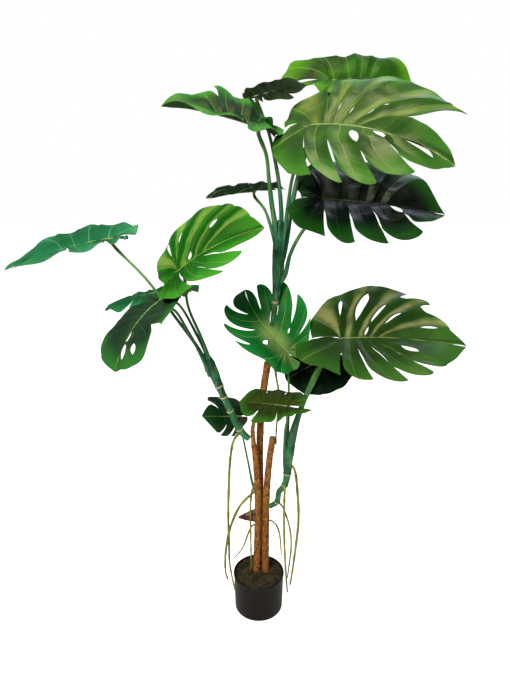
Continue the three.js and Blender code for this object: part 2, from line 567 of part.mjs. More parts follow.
/** The pot: a slightly tapered cup with a band round its mouth. */
function potGeometry() {
  const { height, footRadius, rimRadius, wall, floor, sides } = POT;
  const radiusAt = (z) => footRadius + ((rimRadius - RIM.stand - footRadius) * z) / (height - RIM.depth);
  return turned([
    [0, 0], [footRadius - 2, 0], [footRadius, 2], [radiusAt(height - RIM.depth), height - RIM.depth],
    [rimRadius, height - RIM.depth + 1.5], [rimRadius, height - 1], [rimRadius - 1, height],
    [rimRadius - wall - RIM.stand, height], [footRadius - wall, floor], [0, floor],
  ], sides);
}

/** The soil, which fills the pot up to just below the rim and rises a little towards the canes. */
function soilGeometry() {
  const { height, footRadius, rimRadius, wall, floor, sides } = POT;
  const slope = (rimRadius - RIM.stand - footRadius) / (height - floor);
  const fill = (z) => footRadius + slope * (z - floor) - wall - 2 * CLEARANCE;
  const top = height - SOIL.drop;
  return turned([
    [0, floor + CLEARANCE], [fill(floor), floor + CLEARANCE], [fill(top), top],
    [fill(top) * 0.5, top + SOIL.crown], [0, top + SOIL.crown],
  ], sides);
}

/** Bark relief: long ridges that wander round the cane, with worn collars. */
const bark = (share, angle) =>
  1 + BARK.ridge * Math.sin(3 * angle + 9 * share) + BARK.collar * Math.sin(46 * share) ** 8;

/** Swollen rings at the nodes of a green shoot. */
const nodes = (rings) => (share) =>
  1 + 0.16 * rings.reduce((sum, ring) => sum + Math.max(0, 1 - Math.abs(share - ring) / 0.03), 0);

/** The dry sheath: a tapering half tube that stands out of a slot in the cane. */
function drySheath(grow) {
  const { base, tip, halfHeight, hollow, thickness } = DRY_SHEATH;
  const end = vec(tip);
  const start = vec(base).addScaledVector(end.clone().sub(vec(base)).normalize(), -grow);
  const points = [];
  const triangles = [];
  const [long, round] = [5, 5];
  for (let i = 0; i <= long; i++)
    for (let j = 0; j <= round; j++) {
      const share = i / long;
      const width = 1 - 0.94 * share ** 1.4;
      const angle = (j / round - 0.5) * Math.PI;
      const point = start.clone().lerp(end, share);
      point.z += halfHeight * width * Math.sin(angle);
      point.y += (j % round === 0 ? grow : 0) - hollow * width * Math.cos(angle);
      points.push({ point, rib: 0 });
      if (i === 0 || j === 0) continue;
      const here = i * (round + 1) + j;
      const back = here - round - 1;
      triangles.push([back - 1, here - 1, here], [back - 1, here, back]);
    }
  return thicken({ points, triangles }, thickness + 2 * grow, 0);
}

solids.pot = [solidOf(potGeometry()), "pot"];
solids.soil = [solidOf(soilGeometry()), "soil"];
for (const [name, { path, radii, steps }] of Object.entries(CANES))
  solids[name] = [limb(path, radii, BARK.sides, steps, { relief: bark }), "bark"];
for (const [name, { path, radii, steps, rings }] of Object.entries(SHOOTS))
  solids[name] = [limb(path, radii, SHOOT_SIDES, steps, { relief: nodes(rings) }), "shoot"];

/** Stands a limb in what bears it: the bearer gets a hole of the limb's own shape, with clearance. */
function stand(bearer, path, radii, sides, steps) {
  const hole = limb(path, radii, sides, steps, { grow: CLEARANCE });
  solids[bearer][0] = solids[bearer][0].subtract(hole);
}

for (const [name, leaf] of Object.entries(LEAVES)) {
  const frame = frameOf(leaf);
  const path = petiolePath(leaf, frame);
  const radii = [...leaf.radii, leaf.radii.at(-1), leaf.radii.at(-1) * 1.15];
  const petiole = limb(path, radii, PETIOLE_SIDES, 8);
  stand(leaf.on, path, radii, PETIOLE_SIDES, 8);
  solids[name] = [thicken(bladeSheet(leaf, frame), BLADE.thickness, BLADE.ribDepth).add(petiole), "leaf"];
}

for (const [name, { from, radius, path }] of Object.entries(ROOTS)) {
  const radii = [radius, radius, radius * 0.9, radius * 0.6];
  const steps = 2 * path.length;
  solids[name] = [limb(path, radii, ROOT_SIDES, steps), "root"];
  stand(from, path, radii, ROOT_SIDES, steps);
  if (name === "root_into_soil") stand("soil", path, radii, ROOT_SIDES, steps);
}

for (const { path, radii, steps } of Object.values(CANES)) {
  const hole = limb(path, radii, BARK.sides, steps, { grow: CLEARANCE, relief: bark });
  solids.soil[0] = solids.soil[0].subtract(hole);
}
const FORKS = [
  ["shoot_left", "cane_front_left"],
  ["shoot_right", "cane_front_right"],
  ["stem_crown", "cane_rear"],
];
for (const [shoot, cane] of FORKS) {
  const { path, radii, steps, rings } = SHOOTS[shoot];
  const hole = limb(path, radii, SHOOT_SIDES, steps, { grow: CLEARANCE, relief: nodes(rings) });
  solids[cane][0] = solids[cane][0].subtract(hole);
}
solids.dry_sheath = [drySheath(0), "husk"];
solids.cane_front_left[0] = solids.cane_front_left[0].subtract(drySheath(CLEARANCE));
// The crown stem passes through a split of the centre leaf, which is open wide enough for it.
const STEM_AIR = 2;
const { path: crownPath, radii: crownRadii, steps: crownSteps } = SHOOTS.stem_crown;
solids.leaf_centre[0] = solids.leaf_centre[0].subtract(
  limb(crownPath, crownRadii, SHOOT_SIDES, crownSteps, { grow: STEM_AIR }));

for (const [name, [solid, kind]] of Object.entries(solids)) plant.add(meshOf(name, solid, kind));

export default plant;
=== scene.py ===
"""A tall monstera in a black nursery pot, dressed for its photograph.

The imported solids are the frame. Every piece here follows the same centrelines and blade formula as
the solid that it stands for, with far more points, so that veins, bark, rings and rims show.
Sizes are in millimetres and become metres where a mesh is made.
"""

import logging
import math
from dataclasses import dataclass, field
from enum import Enum
from typing import Callable, Optional, Sequence

import bpy
import numpy as np
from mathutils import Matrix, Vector, noise

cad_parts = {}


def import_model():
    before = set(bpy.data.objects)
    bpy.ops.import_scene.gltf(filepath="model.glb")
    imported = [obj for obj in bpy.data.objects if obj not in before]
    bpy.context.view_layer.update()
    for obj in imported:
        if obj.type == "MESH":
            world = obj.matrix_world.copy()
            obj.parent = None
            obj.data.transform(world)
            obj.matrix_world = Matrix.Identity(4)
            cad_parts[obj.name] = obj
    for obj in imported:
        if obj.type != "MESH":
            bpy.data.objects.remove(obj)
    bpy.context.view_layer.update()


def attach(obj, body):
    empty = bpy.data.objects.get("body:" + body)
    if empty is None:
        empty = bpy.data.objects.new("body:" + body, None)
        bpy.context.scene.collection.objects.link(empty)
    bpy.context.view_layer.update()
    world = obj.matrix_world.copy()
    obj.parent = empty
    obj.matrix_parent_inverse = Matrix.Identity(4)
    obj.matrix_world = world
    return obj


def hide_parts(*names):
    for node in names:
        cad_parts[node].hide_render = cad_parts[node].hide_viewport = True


LOG = logging.getLogger("monstera")
MM = 0.001
BODY = "root"
WELD_MM = 0.02
PATH_STEPS = 60
SHARE_MARKS = 160
LAMP_AIM = (0.0, 0.0, 1.1)

Piece = bpy.types.Object
Material = bpy.types.Material
Socket = bpy.types.NodeSocket
Array = np.ndarray
Point = Sequence[float]
Colour = tuple[float, float, float, float]


def colour(code: str) -> Colour:
    """A linear colour from a display colour code.

    Args:
        code: six hexadecimal digits, such as "2f6b25".

    Returns:
        Red, green, blue and alpha, linear.
    """
    parts = [int(code[i : i + 2], 16) / 255 for i in (0, 2, 4)]
    linear = [p / 12.92 if p <= 0.04045 else ((p + 0.055) / 1.055) ** 2.4 for p in parts]
    return (linear[0], linear[1], linear[2], 1.0)


def smooth(x: Array) -> Array:
    """A smooth step from 0 to 1 as x runs from 0 to 1."""
    x = np.clip(x, 0, 1)
    return x * x * (3 - 2 * x)


# ---- modelling helpers ----


def deselect() -> None:
    """Leaves object mode with nothing selected."""
    if bpy.context.object and bpy.context.object.mode != "OBJECT":
        bpy.ops.object.mode_set(mode="OBJECT")
    bpy.ops.object.select_all(action="DESELECT")


def activate(piece: Piece) -> None:
    """Makes one piece the only selected and the active one."""
    deselect()
    piece.select_set(True)
    bpy.context.view_layer.objects.active = piece


def woven(name: str, points: Array, uv: Optional[Array] = None, **stored: Array) -> Piece:
    """A grid primitive whose points are moved to the given places.

    Args:
        name: the piece's name.
        points: places in millimetres, shape (columns, rows, 3).
        uv: a UV place for each point, shape (columns, rows, 2), or None for an even one.
        stored: numbers kept with the points under these names, shape (columns, rows).

    Returns:
        The new piece, open at its edges, with its place in its mesh.
    """
    columns, rows = points.shape[:2]
    deselect()
    bpy.ops.mesh.primitive_grid_add(
        x_subdivisions=columns - 1, y_subdivisions=rows - 1, size=2, location=(0, 0, 0)
    )
    piece = bpy.context.object
    piece.name = name
    piece.data.name = name
    mesh = piece.data
    flat = np.empty(len(mesh.vertices) * 3, np.float32)
    mesh.vertices.foreach_get("co", flat)
    flat = flat.reshape(-1, 3)
    c = np.rint((flat[:, 0] + 1) / 2 * (columns - 1)).astype(int)
    r = np.rint((flat[:, 1] + 1) / 2 * (rows - 1)).astype(int)
    mesh.vertices.foreach_set("co", (points[c, r] * MM).astype(np.float32).ravel())
    paint(piece, "column", c)
    for key, values in stored.items():
        paint(piece, key, values[c, r])
    if uv is not None:
        corners = np.empty(len(mesh.loops), np.int32)
        mesh.loops.foreach_get("vertex_index", corners)
        mesh.uv_layers.active.data.foreach_set("uv", uv[c, r][corners].astype(np.float32).ravel())
    mesh.update()
    return piece


def weld(piece: Piece) -> None:
    """Merges points that lie together, closes open ends and turns the faces outwards."""
    activate(piece)
    bpy.ops.object.mode_set(mode="EDIT")
    bpy.ops.mesh.select_all(action="SELECT")
    bpy.ops.mesh.remove_doubles(threshold=WELD_MM * MM)
    bpy.ops.mesh.select_all(action="DESELECT")
    bpy.ops.mesh.select_mode(type="EDGE")
    bpy.ops.mesh.select_non_manifold(extend=False)
    bpy.ops.mesh.edge_face_add()
    bpy.ops.mesh.select_all(action="SELECT")
    bpy.ops.mesh.normals_make_consistent(inside=False)
    bpy.ops.mesh.select_mode(type="VERT")
    bpy.ops.object.mode_set(mode="OBJECT")


def apply(piece: Piece, kind: str, **settings: object) -> None:
    """Adds a modifier with these settings and applies it."""
    activate(piece)
    modifier = piece.modifiers.new(kind.title(), kind)
    for key, value in settings.items():
        setattr(modifier, key, value)
    bpy.ops.object.modifier_apply(modifier=modifier.name)


def soften(piece: Piece, degrees: float) -> None:
    """Shades a piece smooth, apart from edges sharper than the angle."""
    activate(piece)
    bpy.ops.object.shade_smooth_by_angle(angle=math.radians(degrees))


def coat(piece: Piece, *materials: Material) -> None:
    """Gives a piece these materials and no others."""
    piece.data.materials.clear()
    for material in materials:
        piece.data.materials.append(material)


def joined(pieces: Sequence[Piece]) -> Piece:
    """Joins pieces into the first one and returns it."""
    deselect()
    for piece in pieces:
        piece.select_set(True)
    bpy.context.view_layer.objects.active = pieces[0]
    bpy.ops.object.join()
    return bpy.context.object


def paint(piece: Piece, name: str, values: Array) -> None:
    """Stores one number for each point of a piece under a name."""
    layer = piece.data.attributes.new(name, "FLOAT", "POINT")
    layer.data.foreach_set("value", values.astype(np.float32))


def grain(points: Array, scale: float, seed: float = 0.0) -> Array:
    """Smooth noise from -1 to 1 at each place.

    Args:
        points: places in millimetres, shape (..., 3).
        scale: the size of a grain, in millimetres.
        seed: shifts the noise.

    Returns:
        One number for each place.
    """
    flat = points.reshape(-1, 3) / scale
    values = [noise.noise(Vector((p[0] + seed, p[1] - seed, p[2] + 2 * seed))) for p in flat]
    return np.array(values).reshape(points.shape[:-1])


class Course:
    """A smooth centreline through given points, walked evenly along its length."""

    def __init__(self, path: Sequence[Point]) -> None:
        """Finds the line.

        Args:
            path: the points it passes through, in millimetres.
        """
        p = np.array(path, float)
        p = np.vstack([2 * p[0] - p[1], p, 2 * p[-1] - p[-2]])
        spots = []
        for i in range(1, len(p) - 2):
            x0, x1, x2, x3 = p[i - 1 : i + 3]
            legs = ((x0, x1), (x1, x2), (x2, x3))
            d0, d1, d2 = (max(np.sum((b - a) ** 2) ** 0.25, 1e-4) for a, b in legs)
            t1 = ((x1 - x0) / d0 - (x2 - x0) / (d0 + d1) + (x2 - x1) / d1) * d1
            t2 = ((x2 - x1) / d1 - (x3 - x1) / (d1 + d2) + (x3 - x2) / d2) * d1
            t = np.linspace(0, 1, PATH_STEPS, endpoint=False)[:, None]
            cube = (2 * x1 - 2 * x2 + t1 + t2) * t**3
            spots.append(cube + (-3 * x1 + 3 * x2 - 2 * t1 - t2) * t**2 + t1 * t + x1)
        self.spots = np.vstack([*spots, p[-2][None]])
        steps = np.linalg.norm(np.diff(self.spots, axis=0), axis=1)
        self.marks = np.concatenate([[0], np.cumsum(steps)])
        self.length = float(self.marks[-1])

    def at(self, shares: Array) -> Array:
        """The places at these shares of the length."""
        where = np.asarray(shares) * self.length
        return np.stack([np.interp(where, self.marks, self.spots[:, k]) for k in range(3)], -1)

    def frames(self, shares: Array) -> tuple[Array, Array, Array]:
        """Places along the line, each with two directions square to it that don't twist.

        Args:
            shares: shares of the length, rising.

        Returns:
            The places, the first directions and the second ones.
        """
        places = self.at(shares)
        step = 0.5 / max(self.length, 1)
        ahead = self.at(np.clip(shares + step, 0, 1)) - self.at(np.clip(shares - step, 0, 1))
        ahead /= np.linalg.norm(ahead, axis=1)[:, None]
        side = np.cross(ahead[0], (0.0, 1.0, 0.0))
        first = []
        for direction in ahead:
            side = side - direction * side.dot(direction)
            side /= np.linalg.norm(side)
            first.append(side.copy())
        first = np.array(first)
        return places, first, np.cross(ahead, first)

    def shares(self, piece: Piece) -> Array:
        """How far along the line each point of a piece lies.

        Args:
            piece: a piece that follows the line.

        Returns:
            A share of the length for each point.
        """
        flat = np.empty(len(piece.data.vertices) * 3, np.float32)
        piece.data.vertices.foreach_get("co", flat)
        spots = self.at(np.linspace(0, 1, SHARE_MARKS)) * MM
        near = np.argmin(((flat.reshape(-1, 1, 3) - spots[None]) ** 2).sum(-1), axis=1)
        return near / (SHARE_MARKS - 1)


Relief = Callable[[Array, Array], Array]


def limb(
    name: str,
    course: Course,
    radii: Sequence[float],
    sides: int,
    steps: int,
    relief: Optional[Relief] = None,
    rough: tuple[float, float] = (0.0, 1.0),
    blunt: float = 0.0,
) -> Piece:
    """A round limb: a grid rolled about a centreline and closed at both ends.

    Args:
        name: the piece's name.
        course: its centreline.
        radii: evenly spaced radii along it, in millimetres.
        sides: faces round it.
        steps: faces along it.
        relief: a factor on the radius, from the share along and the angle round.
        rough: height and grain size of small bumps, in millimetres.
        blunt: share of the length over which the far end rounds off.

    Returns:
        The closed piece, with UV running round it and along it in decimetres.
    """
    shares = np.linspace(0, 1, steps + 1)
    if blunt:
        shares = 1 - (1 - shares) ** 1.25
    places, first, second = course.frames(shares)
    angles = np.linspace(0, 2 * math.pi, sides + 1)
    along, turn = np.meshgrid(shares, angles)
    radius = np.interp(along, np.linspace(0, 1, len(radii)), radii)
    if relief:
        radius = radius * relief(along, turn)
    if blunt:
        radius = radius * np.sqrt(np.clip((1 - along) / blunt, 0.0, 1)) ** 0.9
    out = np.cos(turn)[..., None] * first[None] + np.sin(turn)[..., None] * second[None]
    points = places[None] + out * radius[..., None]
    if rough[0]:
        bumps = rough[0] * grain(points * (1, 1, 0.45), rough[1])
        bumps[-1] = bumps[0]
        points += out * bumps[..., None]
    uv = np.stack([turn / (2 * math.pi), along * course.length / 100], -1)
    piece = woven(name, points, uv)
    weld(piece)
    return piece


# ---- finishes ----


class Sheet:
    """A material's node tree, with short ways to add the nodes that the finishes use."""

    def __init__(self, name: str) -> None:
        """Starts a material with one Principled shader."""
        self.material = bpy.data.materials.new(name)
        self.material.use_nodes = True
        self.nodes = self.material.node_tree.nodes
        self.links = self.material.node_tree.links
        self.nodes.clear()
        self.shader = self.nodes.new("ShaderNodeBsdfPrincipled")
        output = self.nodes.new("ShaderNodeOutputMaterial")
        self.links.new(self.shader.outputs[0], output.inputs["Surface"])
        self.place = self.nodes.new("ShaderNodeTexCoord").outputs["Object"]

    def plug(self, socket: Socket, value: object) -> None:
        """Feeds a socket from another socket or with a plain value."""
        if isinstance(value, Socket):
            self.links.new(value, socket)
        else:
            socket.default_value = value

    def fixed(self, **values: float) -> None:
        """Sets plain values on the shader's own sockets, named with underscores for spaces."""
        for key, value in values.items():
            self.shader.inputs[key.replace("_", " ")].default_value = value

    def math(self, kind: str, a: object, b: object = 0.5, c: object = 0.0) -> Socket:
        """A Math node's result."""
        node = self.nodes.new("ShaderNodeMath")
        node.operation = kind
        for socket, value in zip(node.inputs, (a, b, c)):
            self.plug(socket, value)
        return node.outputs[0]

    def span(self, value: object, low: float, high: float, to: Point = (0.0, 1.0)) -> Socket:
        """A value eased from low and high to the ends of another range, and held there."""
        node = self.nodes.new("ShaderNodeMapRange")
        node.interpolation_type = "SMOOTHSTEP"
        for socket, given in zip(node.inputs, (value, low, high, *to)):
            self.plug(socket, given)
        return node.outputs[0]

    def fade(self, value: object, low: float, high: float) -> Socket:
        """1 below low, easing down to 0 at high."""
        return self.span(value, low, high, (1.0, 0.0))

    def times(self, a: object, b: object) -> Socket:
        """A product."""
        return self.math("MULTIPLY", a, b)

    def mix(self, share: object, a: object, b: object) -> Socket:
        """A mix of two colours, each a socket or a display colour code."""
        node = self.nodes.new("ShaderNodeMix")
        node.data_type = "RGBA"
        for index, value in ((0, share), (6, a), (7, b)):
            self.plug(node.inputs[index], colour(value) if isinstance(value, str) else value)
        return node.outputs[2]

    def coats(self, base: object, *coats: tuple) -> Socket:
        """Colours laid over a base.

        Args:
            base: the lowest colour.
            coats: each a value, the range it is eased over, the shares at its ends and a colour.

        Returns:
            The colour on top.
        """
        for value, low, high, bottom, top, code in coats:
            base = self.mix(self.span(value, low, high, (bottom, top)), base, code)
        return base

    def noise(self, scale: float, detail: float, stretch: Point = (1, 1, 1), bend: float = 0) -> Socket:
        """Cloudy noise from 0 to 1.

        Args:
            scale: how fine it is, per metre.
            detail: how many finer layers it has.
            stretch: how much finer it is along each axis.
            bend: how far it warps.

        Returns:
            The noise.
        """
        mapping = self.nodes.new("ShaderNodeMapping")
        mapping.inputs["Scale"].default_value = stretch
        self.plug(mapping.inputs["Vector"], self.place)
        node = self.nodes.new("ShaderNodeTexNoise")
        node.inputs["Scale"].default_value = scale
        node.inputs["Detail"].default_value = detail
        node.inputs["Distortion"].default_value = bend
        self.plug(node.inputs["Vector"], mapping.outputs[0])
        return node.outputs["Fac"]

    def cells(self, scale: float) -> Socket:
        """Distance to the nearest of scattered points."""
        node = self.nodes.new("ShaderNodeTexVoronoi")
        node.inputs["Scale"].default_value = scale
        self.plug(node.inputs["Vector"], self.place)
        return node.outputs["Distance"]

    def stored(self, name: str) -> Socket:
        """The number that a piece stores at each point under a name."""
        node = self.nodes.new("ShaderNodeAttribute")
        node.attribute_name = name
        return node.outputs["Fac"]

    def uv(self) -> tuple[Socket, Socket]:
        """The two numbers of the piece's own UV map."""
        where = self.nodes.new("ShaderNodeUVMap")
        split = self.nodes.new("ShaderNodeSeparateXYZ")
        self.links.new(where.outputs[0], split.inputs[0])
        return split.outputs[0], split.outputs[1]

    def finish(self, base: object, rough: object, height: object = None, depth: float = 0) -> Material:
        """Feeds the shader and hands over the material.

        Args:
            base: the colour.
            rough: the roughness.
            height: the bump's height from 0 to 1, or None.
            depth: how high the bump stands, in millimetres.

        Returns:
            The finished material.
        """
        self.plug(self.shader.inputs["Base Color"], base)
        self.plug(self.shader.inputs["Roughness"], rough)
        if height is not None:
            bump = self.nodes.new("ShaderNodeBump")
            bump.inputs["Strength"].default_value = 1.0
            bump.inputs["Distance"].default_value = depth * MM
            self.plug(bump.inputs["Height"], height)
            self.links.new(bump.outputs[0], self.shader.inputs["Normal"])
        return self.material


@dataclass(frozen=True)
class BladeFinish:
    """The upper side of a leaf: glossy skin between pale veins.

    The skin is clouded from deep to bright and turns to the margin's colour outwards. Ridge is the
    colour of a painted highlight on the crests between the veins of the left half, whose valleys get
    painted shade; heart is how far the middle pales, and gloss and shine are the tint and strength of
    the highlights.
    """

    deep: str
    bright: str
    margin: str
    vein: str
    margin_share: float
    vein_share: float
    roughness: float
    gloss: str = "f0f2b0"
    # ridge and its share: colour and strength of the painted highlight on the left half's crests
    ridge: str = "b4b86c"
    painted_sheen_share: float = 0.0
    heart: float = 0.0
    shine: float = 0.2

    def material(self, name: str) -> Material:
        """Builds the material under this name."""
        s = Sheet(name)
        ahead, aside = s.uv()
        signed = s.stored("across")
        across = s.math("ABSOLUTE", signed)
        outwards = s.stored("outwards")
        rib = s.fade(s.math("ABSOLUTE", aside), 0.0025, 0.0085)
        width = s.math("MULTIPLY_ADD", outwards, -0.04, 0.075)
        side_vein = s.fade(s.math("DIVIDE", across, width), 0.35, 1.0)
        veins = s.math("MAXIMUM", rib, s.times(side_vein, 0.8))
        slope = s.math("MULTIPLY_ADD", across, -5.0, s.times(outwards, 34.0))
        lines = s.fade(s.math("ABSOLUTE", s.math("SINE", slope)), 0.0, 0.35)
        cloud = s.noise(7.0, 5, bend=0.6)
        speck = s.noise(420.0, 3)
        skin = s.mix(s.span(cloud, 0.36, 0.66), self.deep, self.bright)
        skin = s.mix(s.times(s.span(across, 0.05, 0.9), 0.25), skin, self.deep)
        edge = s.times(s.span(outwards, 0.55, 1.0), self.margin_share)
        skin = s.mix(edge, skin, self.margin)
        skin = s.mix(s.times(lines, 0.04), skin, self.vein)
        skin = s.mix(s.times(veins, self.vein_share), skin, self.vein)
        # painted highlights on the crests and painted shade in the valleys of the left half
        if self.painted_sheen_share:
            skin = self.painted_sheen_and_shade(s, skin, aside, signed)
        if self.heart:
            skin = self.hearted(s, skin, ahead, aside, cloud)
        skin = s.mix(s.span(speck, 0.35, 0.8, (0.0, 0.12)), skin, self.bright)
        rough = s.math("ADD", s.span(s.noise(30.0, 4), 0.3, 0.7, (-0.05, 0.07)), self.roughness)
        height = s.math("MULTIPLY_ADD", veins, -0.5, s.times(lines, -0.16))
        height = s.math("MULTIPLY_ADD", speck, 0.12, height)
        s.fixed(Specular_IOR_Level=self.shine, Specular_Tint=colour(self.gloss))
        return s.finish(skin, rough, height, 0.9)

    def painted_sheen_and_shade(self, s: Sheet, skin: object, aside: object, signed: object) -> Socket:
        """Paints highlights on the crests and shade in the valleys beside the side veins of the left
        half.

        Args:
            s: the material's nodes.
            skin: the colour so far.
            aside: the distance aside from the midrib.
            signed: the place across a lobe, from 1 at its front to -1.

        Returns:
            The colour with the painted highlights and painted shade.
        """
        left = s.span(aside, 0.0, 0.02)
        # painted highlight: a pale band on the front slope of each lobe
        painted_highlight = s.times(s.span(signed, -0.1, 0.3), s.fade(signed, 0.45, 0.9))
        painted_highlight = s.times(painted_highlight, s.span(s.noise(16.0, 4), 0.35, 0.6, (0.35, 1.0)))
        painted_highlight = s.times(s.times(left, painted_highlight), self.painted_sheen_share)
        # painted shade: the deep colour on the rear slope of each lobe
        painted_shade = s.times(s.span(signed, -0.9, -0.5), s.fade(signed, -0.3, 0.0))
        painted_shade = s.times(s.times(left, painted_shade), 0.8)
        return s.mix(painted_highlight, s.mix(painted_shade, skin, self.deep), self.ridge)

    def hearted(self, s: Sheet, skin: object, ahead: object, aside: object, cloud: object) -> Socket:
        """Adds a pale patch along the midrib, from the joint to the middle.

        Args:
            s: the material's nodes.
            skin: the colour so far.
            ahead: the distance ahead of the joint.
            aside: the distance aside from the midrib.
            cloud: noise that breaks up the patch.

        Returns:
            The colour with the patch.
        """
        near = s.fade(s.math("ABSOLUTE", aside), 0.01, 0.2)
        heart = s.times(near, s.fade(ahead, 0.3, 0.6))
        heart = s.times(heart, s.span(cloud, 0.3, 0.6, (0.5, 1.0)))
        return s.mix(s.times(heart, self.heart), skin, self.vein)


@dataclass(frozen=True)
class UndersideFinish:
    """The paler, duller lower side of a leaf with raised veins."""

    name: str = "leaf underside"
    skin: str = "20401c"
    pale: str = "345a2c"
    vein: str = "6d8a4e"

    def material(self) -> Material:
        """Builds the material."""
        s = Sheet(self.name)
        vein = s.fade(s.math("ABSOLUTE", s.stored("across")), 0.02, 0.09)
        base = s.coats(self.skin, (s.noise(9.0, 5), 0.35, 0.7, 0.0, 1.0, self.pale))
        base = s.mix(s.times(vein, 0.6), base, self.vein)
        s.fixed(Specular_IOR_Level=0.12)
        return s.finish(base, 0.6, s.math("MULTIPLY_ADD", s.noise(300.0, 3), 0.2, vein), 0.8)


@dataclass(frozen=True)
class PlainFinish:
    """A skin of one hue with soft clouds, specks and a fine bump."""

    name: str
    dark: str
    light: str
    roughness: float
    cloud: float
    speck: str = ""
    speck_share: float = 0.0

    def material(self) -> Material:
        """Builds the material."""
        s = Sheet(self.name)
        cloud = s.noise(self.cloud, 5)
        fine = s.noise(self.cloud * 9, 3)
        base = s.coats(self.dark, (cloud, 0.35, 0.68, 0.0, 1.0, self.light))
        if self.speck:
            base = s.coats(base, (fine, 0.58, 0.7, 0.0, self.speck_share, self.speck))
        rough = s.math("ADD", s.span(fine, 0.3, 0.7, (-0.06, 0.08)), self.roughness)
        return s.finish(base, rough, s.math("ADD", fine, cloud), 0.3)


@dataclass(frozen=True)
class StalkFinish:
    """A petiole: blue-green, paler towards the knee below the blade."""

    name: str = "petiole"
    low: str = "2a7852"
    high: str = "5a983a"
    pale: str = "b4c474"

    def material(self) -> Material:
        """Builds the material."""
        s = Sheet(self.name)
        along = s.stored("along")
        streak = s.noise(120.0, 4, (1, 1, 0.12))
        base = s.coats(
            self.low,
            (along, 0.2, 0.95, 0.0, 1.0, self.high),
            (along, 0.9, 1.0, 0.0, 0.5, self.pale),
            (streak, 0.5, 0.75, 0.0, 0.35, self.pale),
        )
        return s.finish(base, 0.38, streak, 0.25)


@dataclass(frozen=True)
class BarkFinish:
    """Fibrous orange-brown bark with dark furrows."""

    name: str = "fibrous bark"
    furrow: str = "5a3418"
    fibre: str = "bc7830"
    bright: str = "ecb468"
    moss: str = "7a6a34"

    def material(self) -> Material:
        """Builds the material."""
        s = Sheet(self.name)
        fibres = s.noise(170.0, 7, (1, 1, 0.45), bend=1.2)
        patches = s.noise(38.0, 5, (1, 1, 1.6))
        fine = s.noise(700.0, 3, (1, 1, 0.5))
        base = s.coats(
            self.furrow,
            (fibres, 0.34, 0.56, 0.0, 1.0, self.fibre),
            (fibres, 0.56, 0.74, 0.0, 0.8, self.bright),
            (patches, 0.5, 0.68, 0.0, 0.5, self.furrow),
            (patches, 0.3, 0.42, 0.35, 0.0, self.moss),
        )
        return s.finish(base, 0.88, s.math("MULTIPLY_ADD", fine, 0.35, fibres), 2.4)


@dataclass(frozen=True)
class ShootFinish:
    """A green shoot: waxy blue-green skin with pale rings at its nodes and thin dry streaks."""

    name: str
    rings: tuple[float, ...]
    dark: str = "14583a"
    light: str = "34965e"
    ring: str = "dcd2a0"
    streak: str = "b8b478"

    def material(self) -> Material:
        """Builds the material."""
        s = Sheet(self.name)
        streak = s.noise(150.0, 5, (1, 1, 0.07), bend=0.2)
        cloud = s.noise(22.0, 4)
        base = s.coats(
            self.dark,
            (cloud, 0.35, 0.65, 0.0, 1.0, self.light),
            (streak, 0.56, 0.72, 0.0, 0.55, self.streak),
        )
        wander = s.math("MULTIPLY_ADD", cloud, 0.012, s.stored("along"))
        for at in self.rings:
            off = s.math("ABSOLUTE", s.math("SUBTRACT", wander, at + 0.006))
            base = s.coats(base, (off, 0.004, 0.011, 0.85, 0.0, self.ring))
        return s.finish(base, 0.42, streak, 0.7)


@dataclass(frozen=True)
class SoilFinish:
    """Dark damp potting soil with lighter crumbs."""

    name: str = "potting soil"
    wet: str = "2a2416"
    crumb: str = "55492c"
    chip: str = "80704a"

    def material(self) -> Material:
        """Builds the material."""
        s = Sheet(self.name)
        cloud = s.noise(60.0, 6)
        base = s.coats(
            self.wet,
            (cloud, 0.35, 0.65, 0.0, 1.0, self.crumb),
            (s.noise(500.0, 2), 0.62, 0.7, 0.0, 0.6, self.chip),
        )
        return s.finish(base, 0.93, s.math("ADD", s.cells(180.0), cloud), 1.6)


@dataclass(frozen=True)
class PotFinish:
    """Moulded black plastic, a little brown, with fine upright scuffs."""

    name: str = "black nursery plastic"
    black: str = "120e0d"
    worn: str = "251e1b"

    def material(self) -> Material:
        """Builds the material."""
        s = Sheet(self.name)
        scuffs = s.noise(90.0, 5, (1, 1, 0.15))
        dust = s.noise(14.0, 4)
        base = s.coats(
            self.black,
            (scuffs, 0.5, 0.8, 0.0, 0.5, self.worn),
            (dust, 0.5, 0.8, 0.0, 0.35, self.worn),
        )
        rough = s.math("ADD", s.span(dust, 0.3, 0.7, (-0.05, 0.08)), 0.34)
        s.fixed(Specular_IOR_Level=0.3)
        return s.finish(base, rough, s.math("MULTIPLY_ADD", s.noise(700.0, 2), 0.4, scuffs), 0.2)


@dataclass(frozen=True)
class HuskFinish:
    """Dry reddish-brown sheath with pale papery streaks."""

    name: str = "dry sheath"
    brown: str = "5a2c22"
    paper: str = "b0958a"

    def material(self) -> Material:
        """Builds the material."""
        s = Sheet(self.name)
        streak = s.noise(110.0, 5, (0.25, 1, 1))
        base = s.coats(self.brown, (streak, 0.45, 0.75, 0.0, 1.0, self.paper))
        return s.finish(base, 0.8, streak, 0.8)


# ---- the leaf ----


class Side(Enum):
    """The halves of a blade as seen from above with the tip ahead."""

    LEFT = 0
    RIGHT = 1


MARGIN_ANGLES = (0, 35, 70, 105, 140, 176)
SEAMS = (0, 0.15, 0.25, 0.35, 0.48, 0.65, 1)
LOBES = len(SEAMS) - 1
HALF_STRIPS = (1, 0.97, 0.88, 0.7, 0.5, 0.3, 0.13)
STRIPS = np.array([*HALF_STRIPS, 0, *(-w for w in reversed(HALF_STRIPS))])
ROWS = np.concatenate([[0, 0.012, 0.03], np.linspace(0.06, 1, 27)])


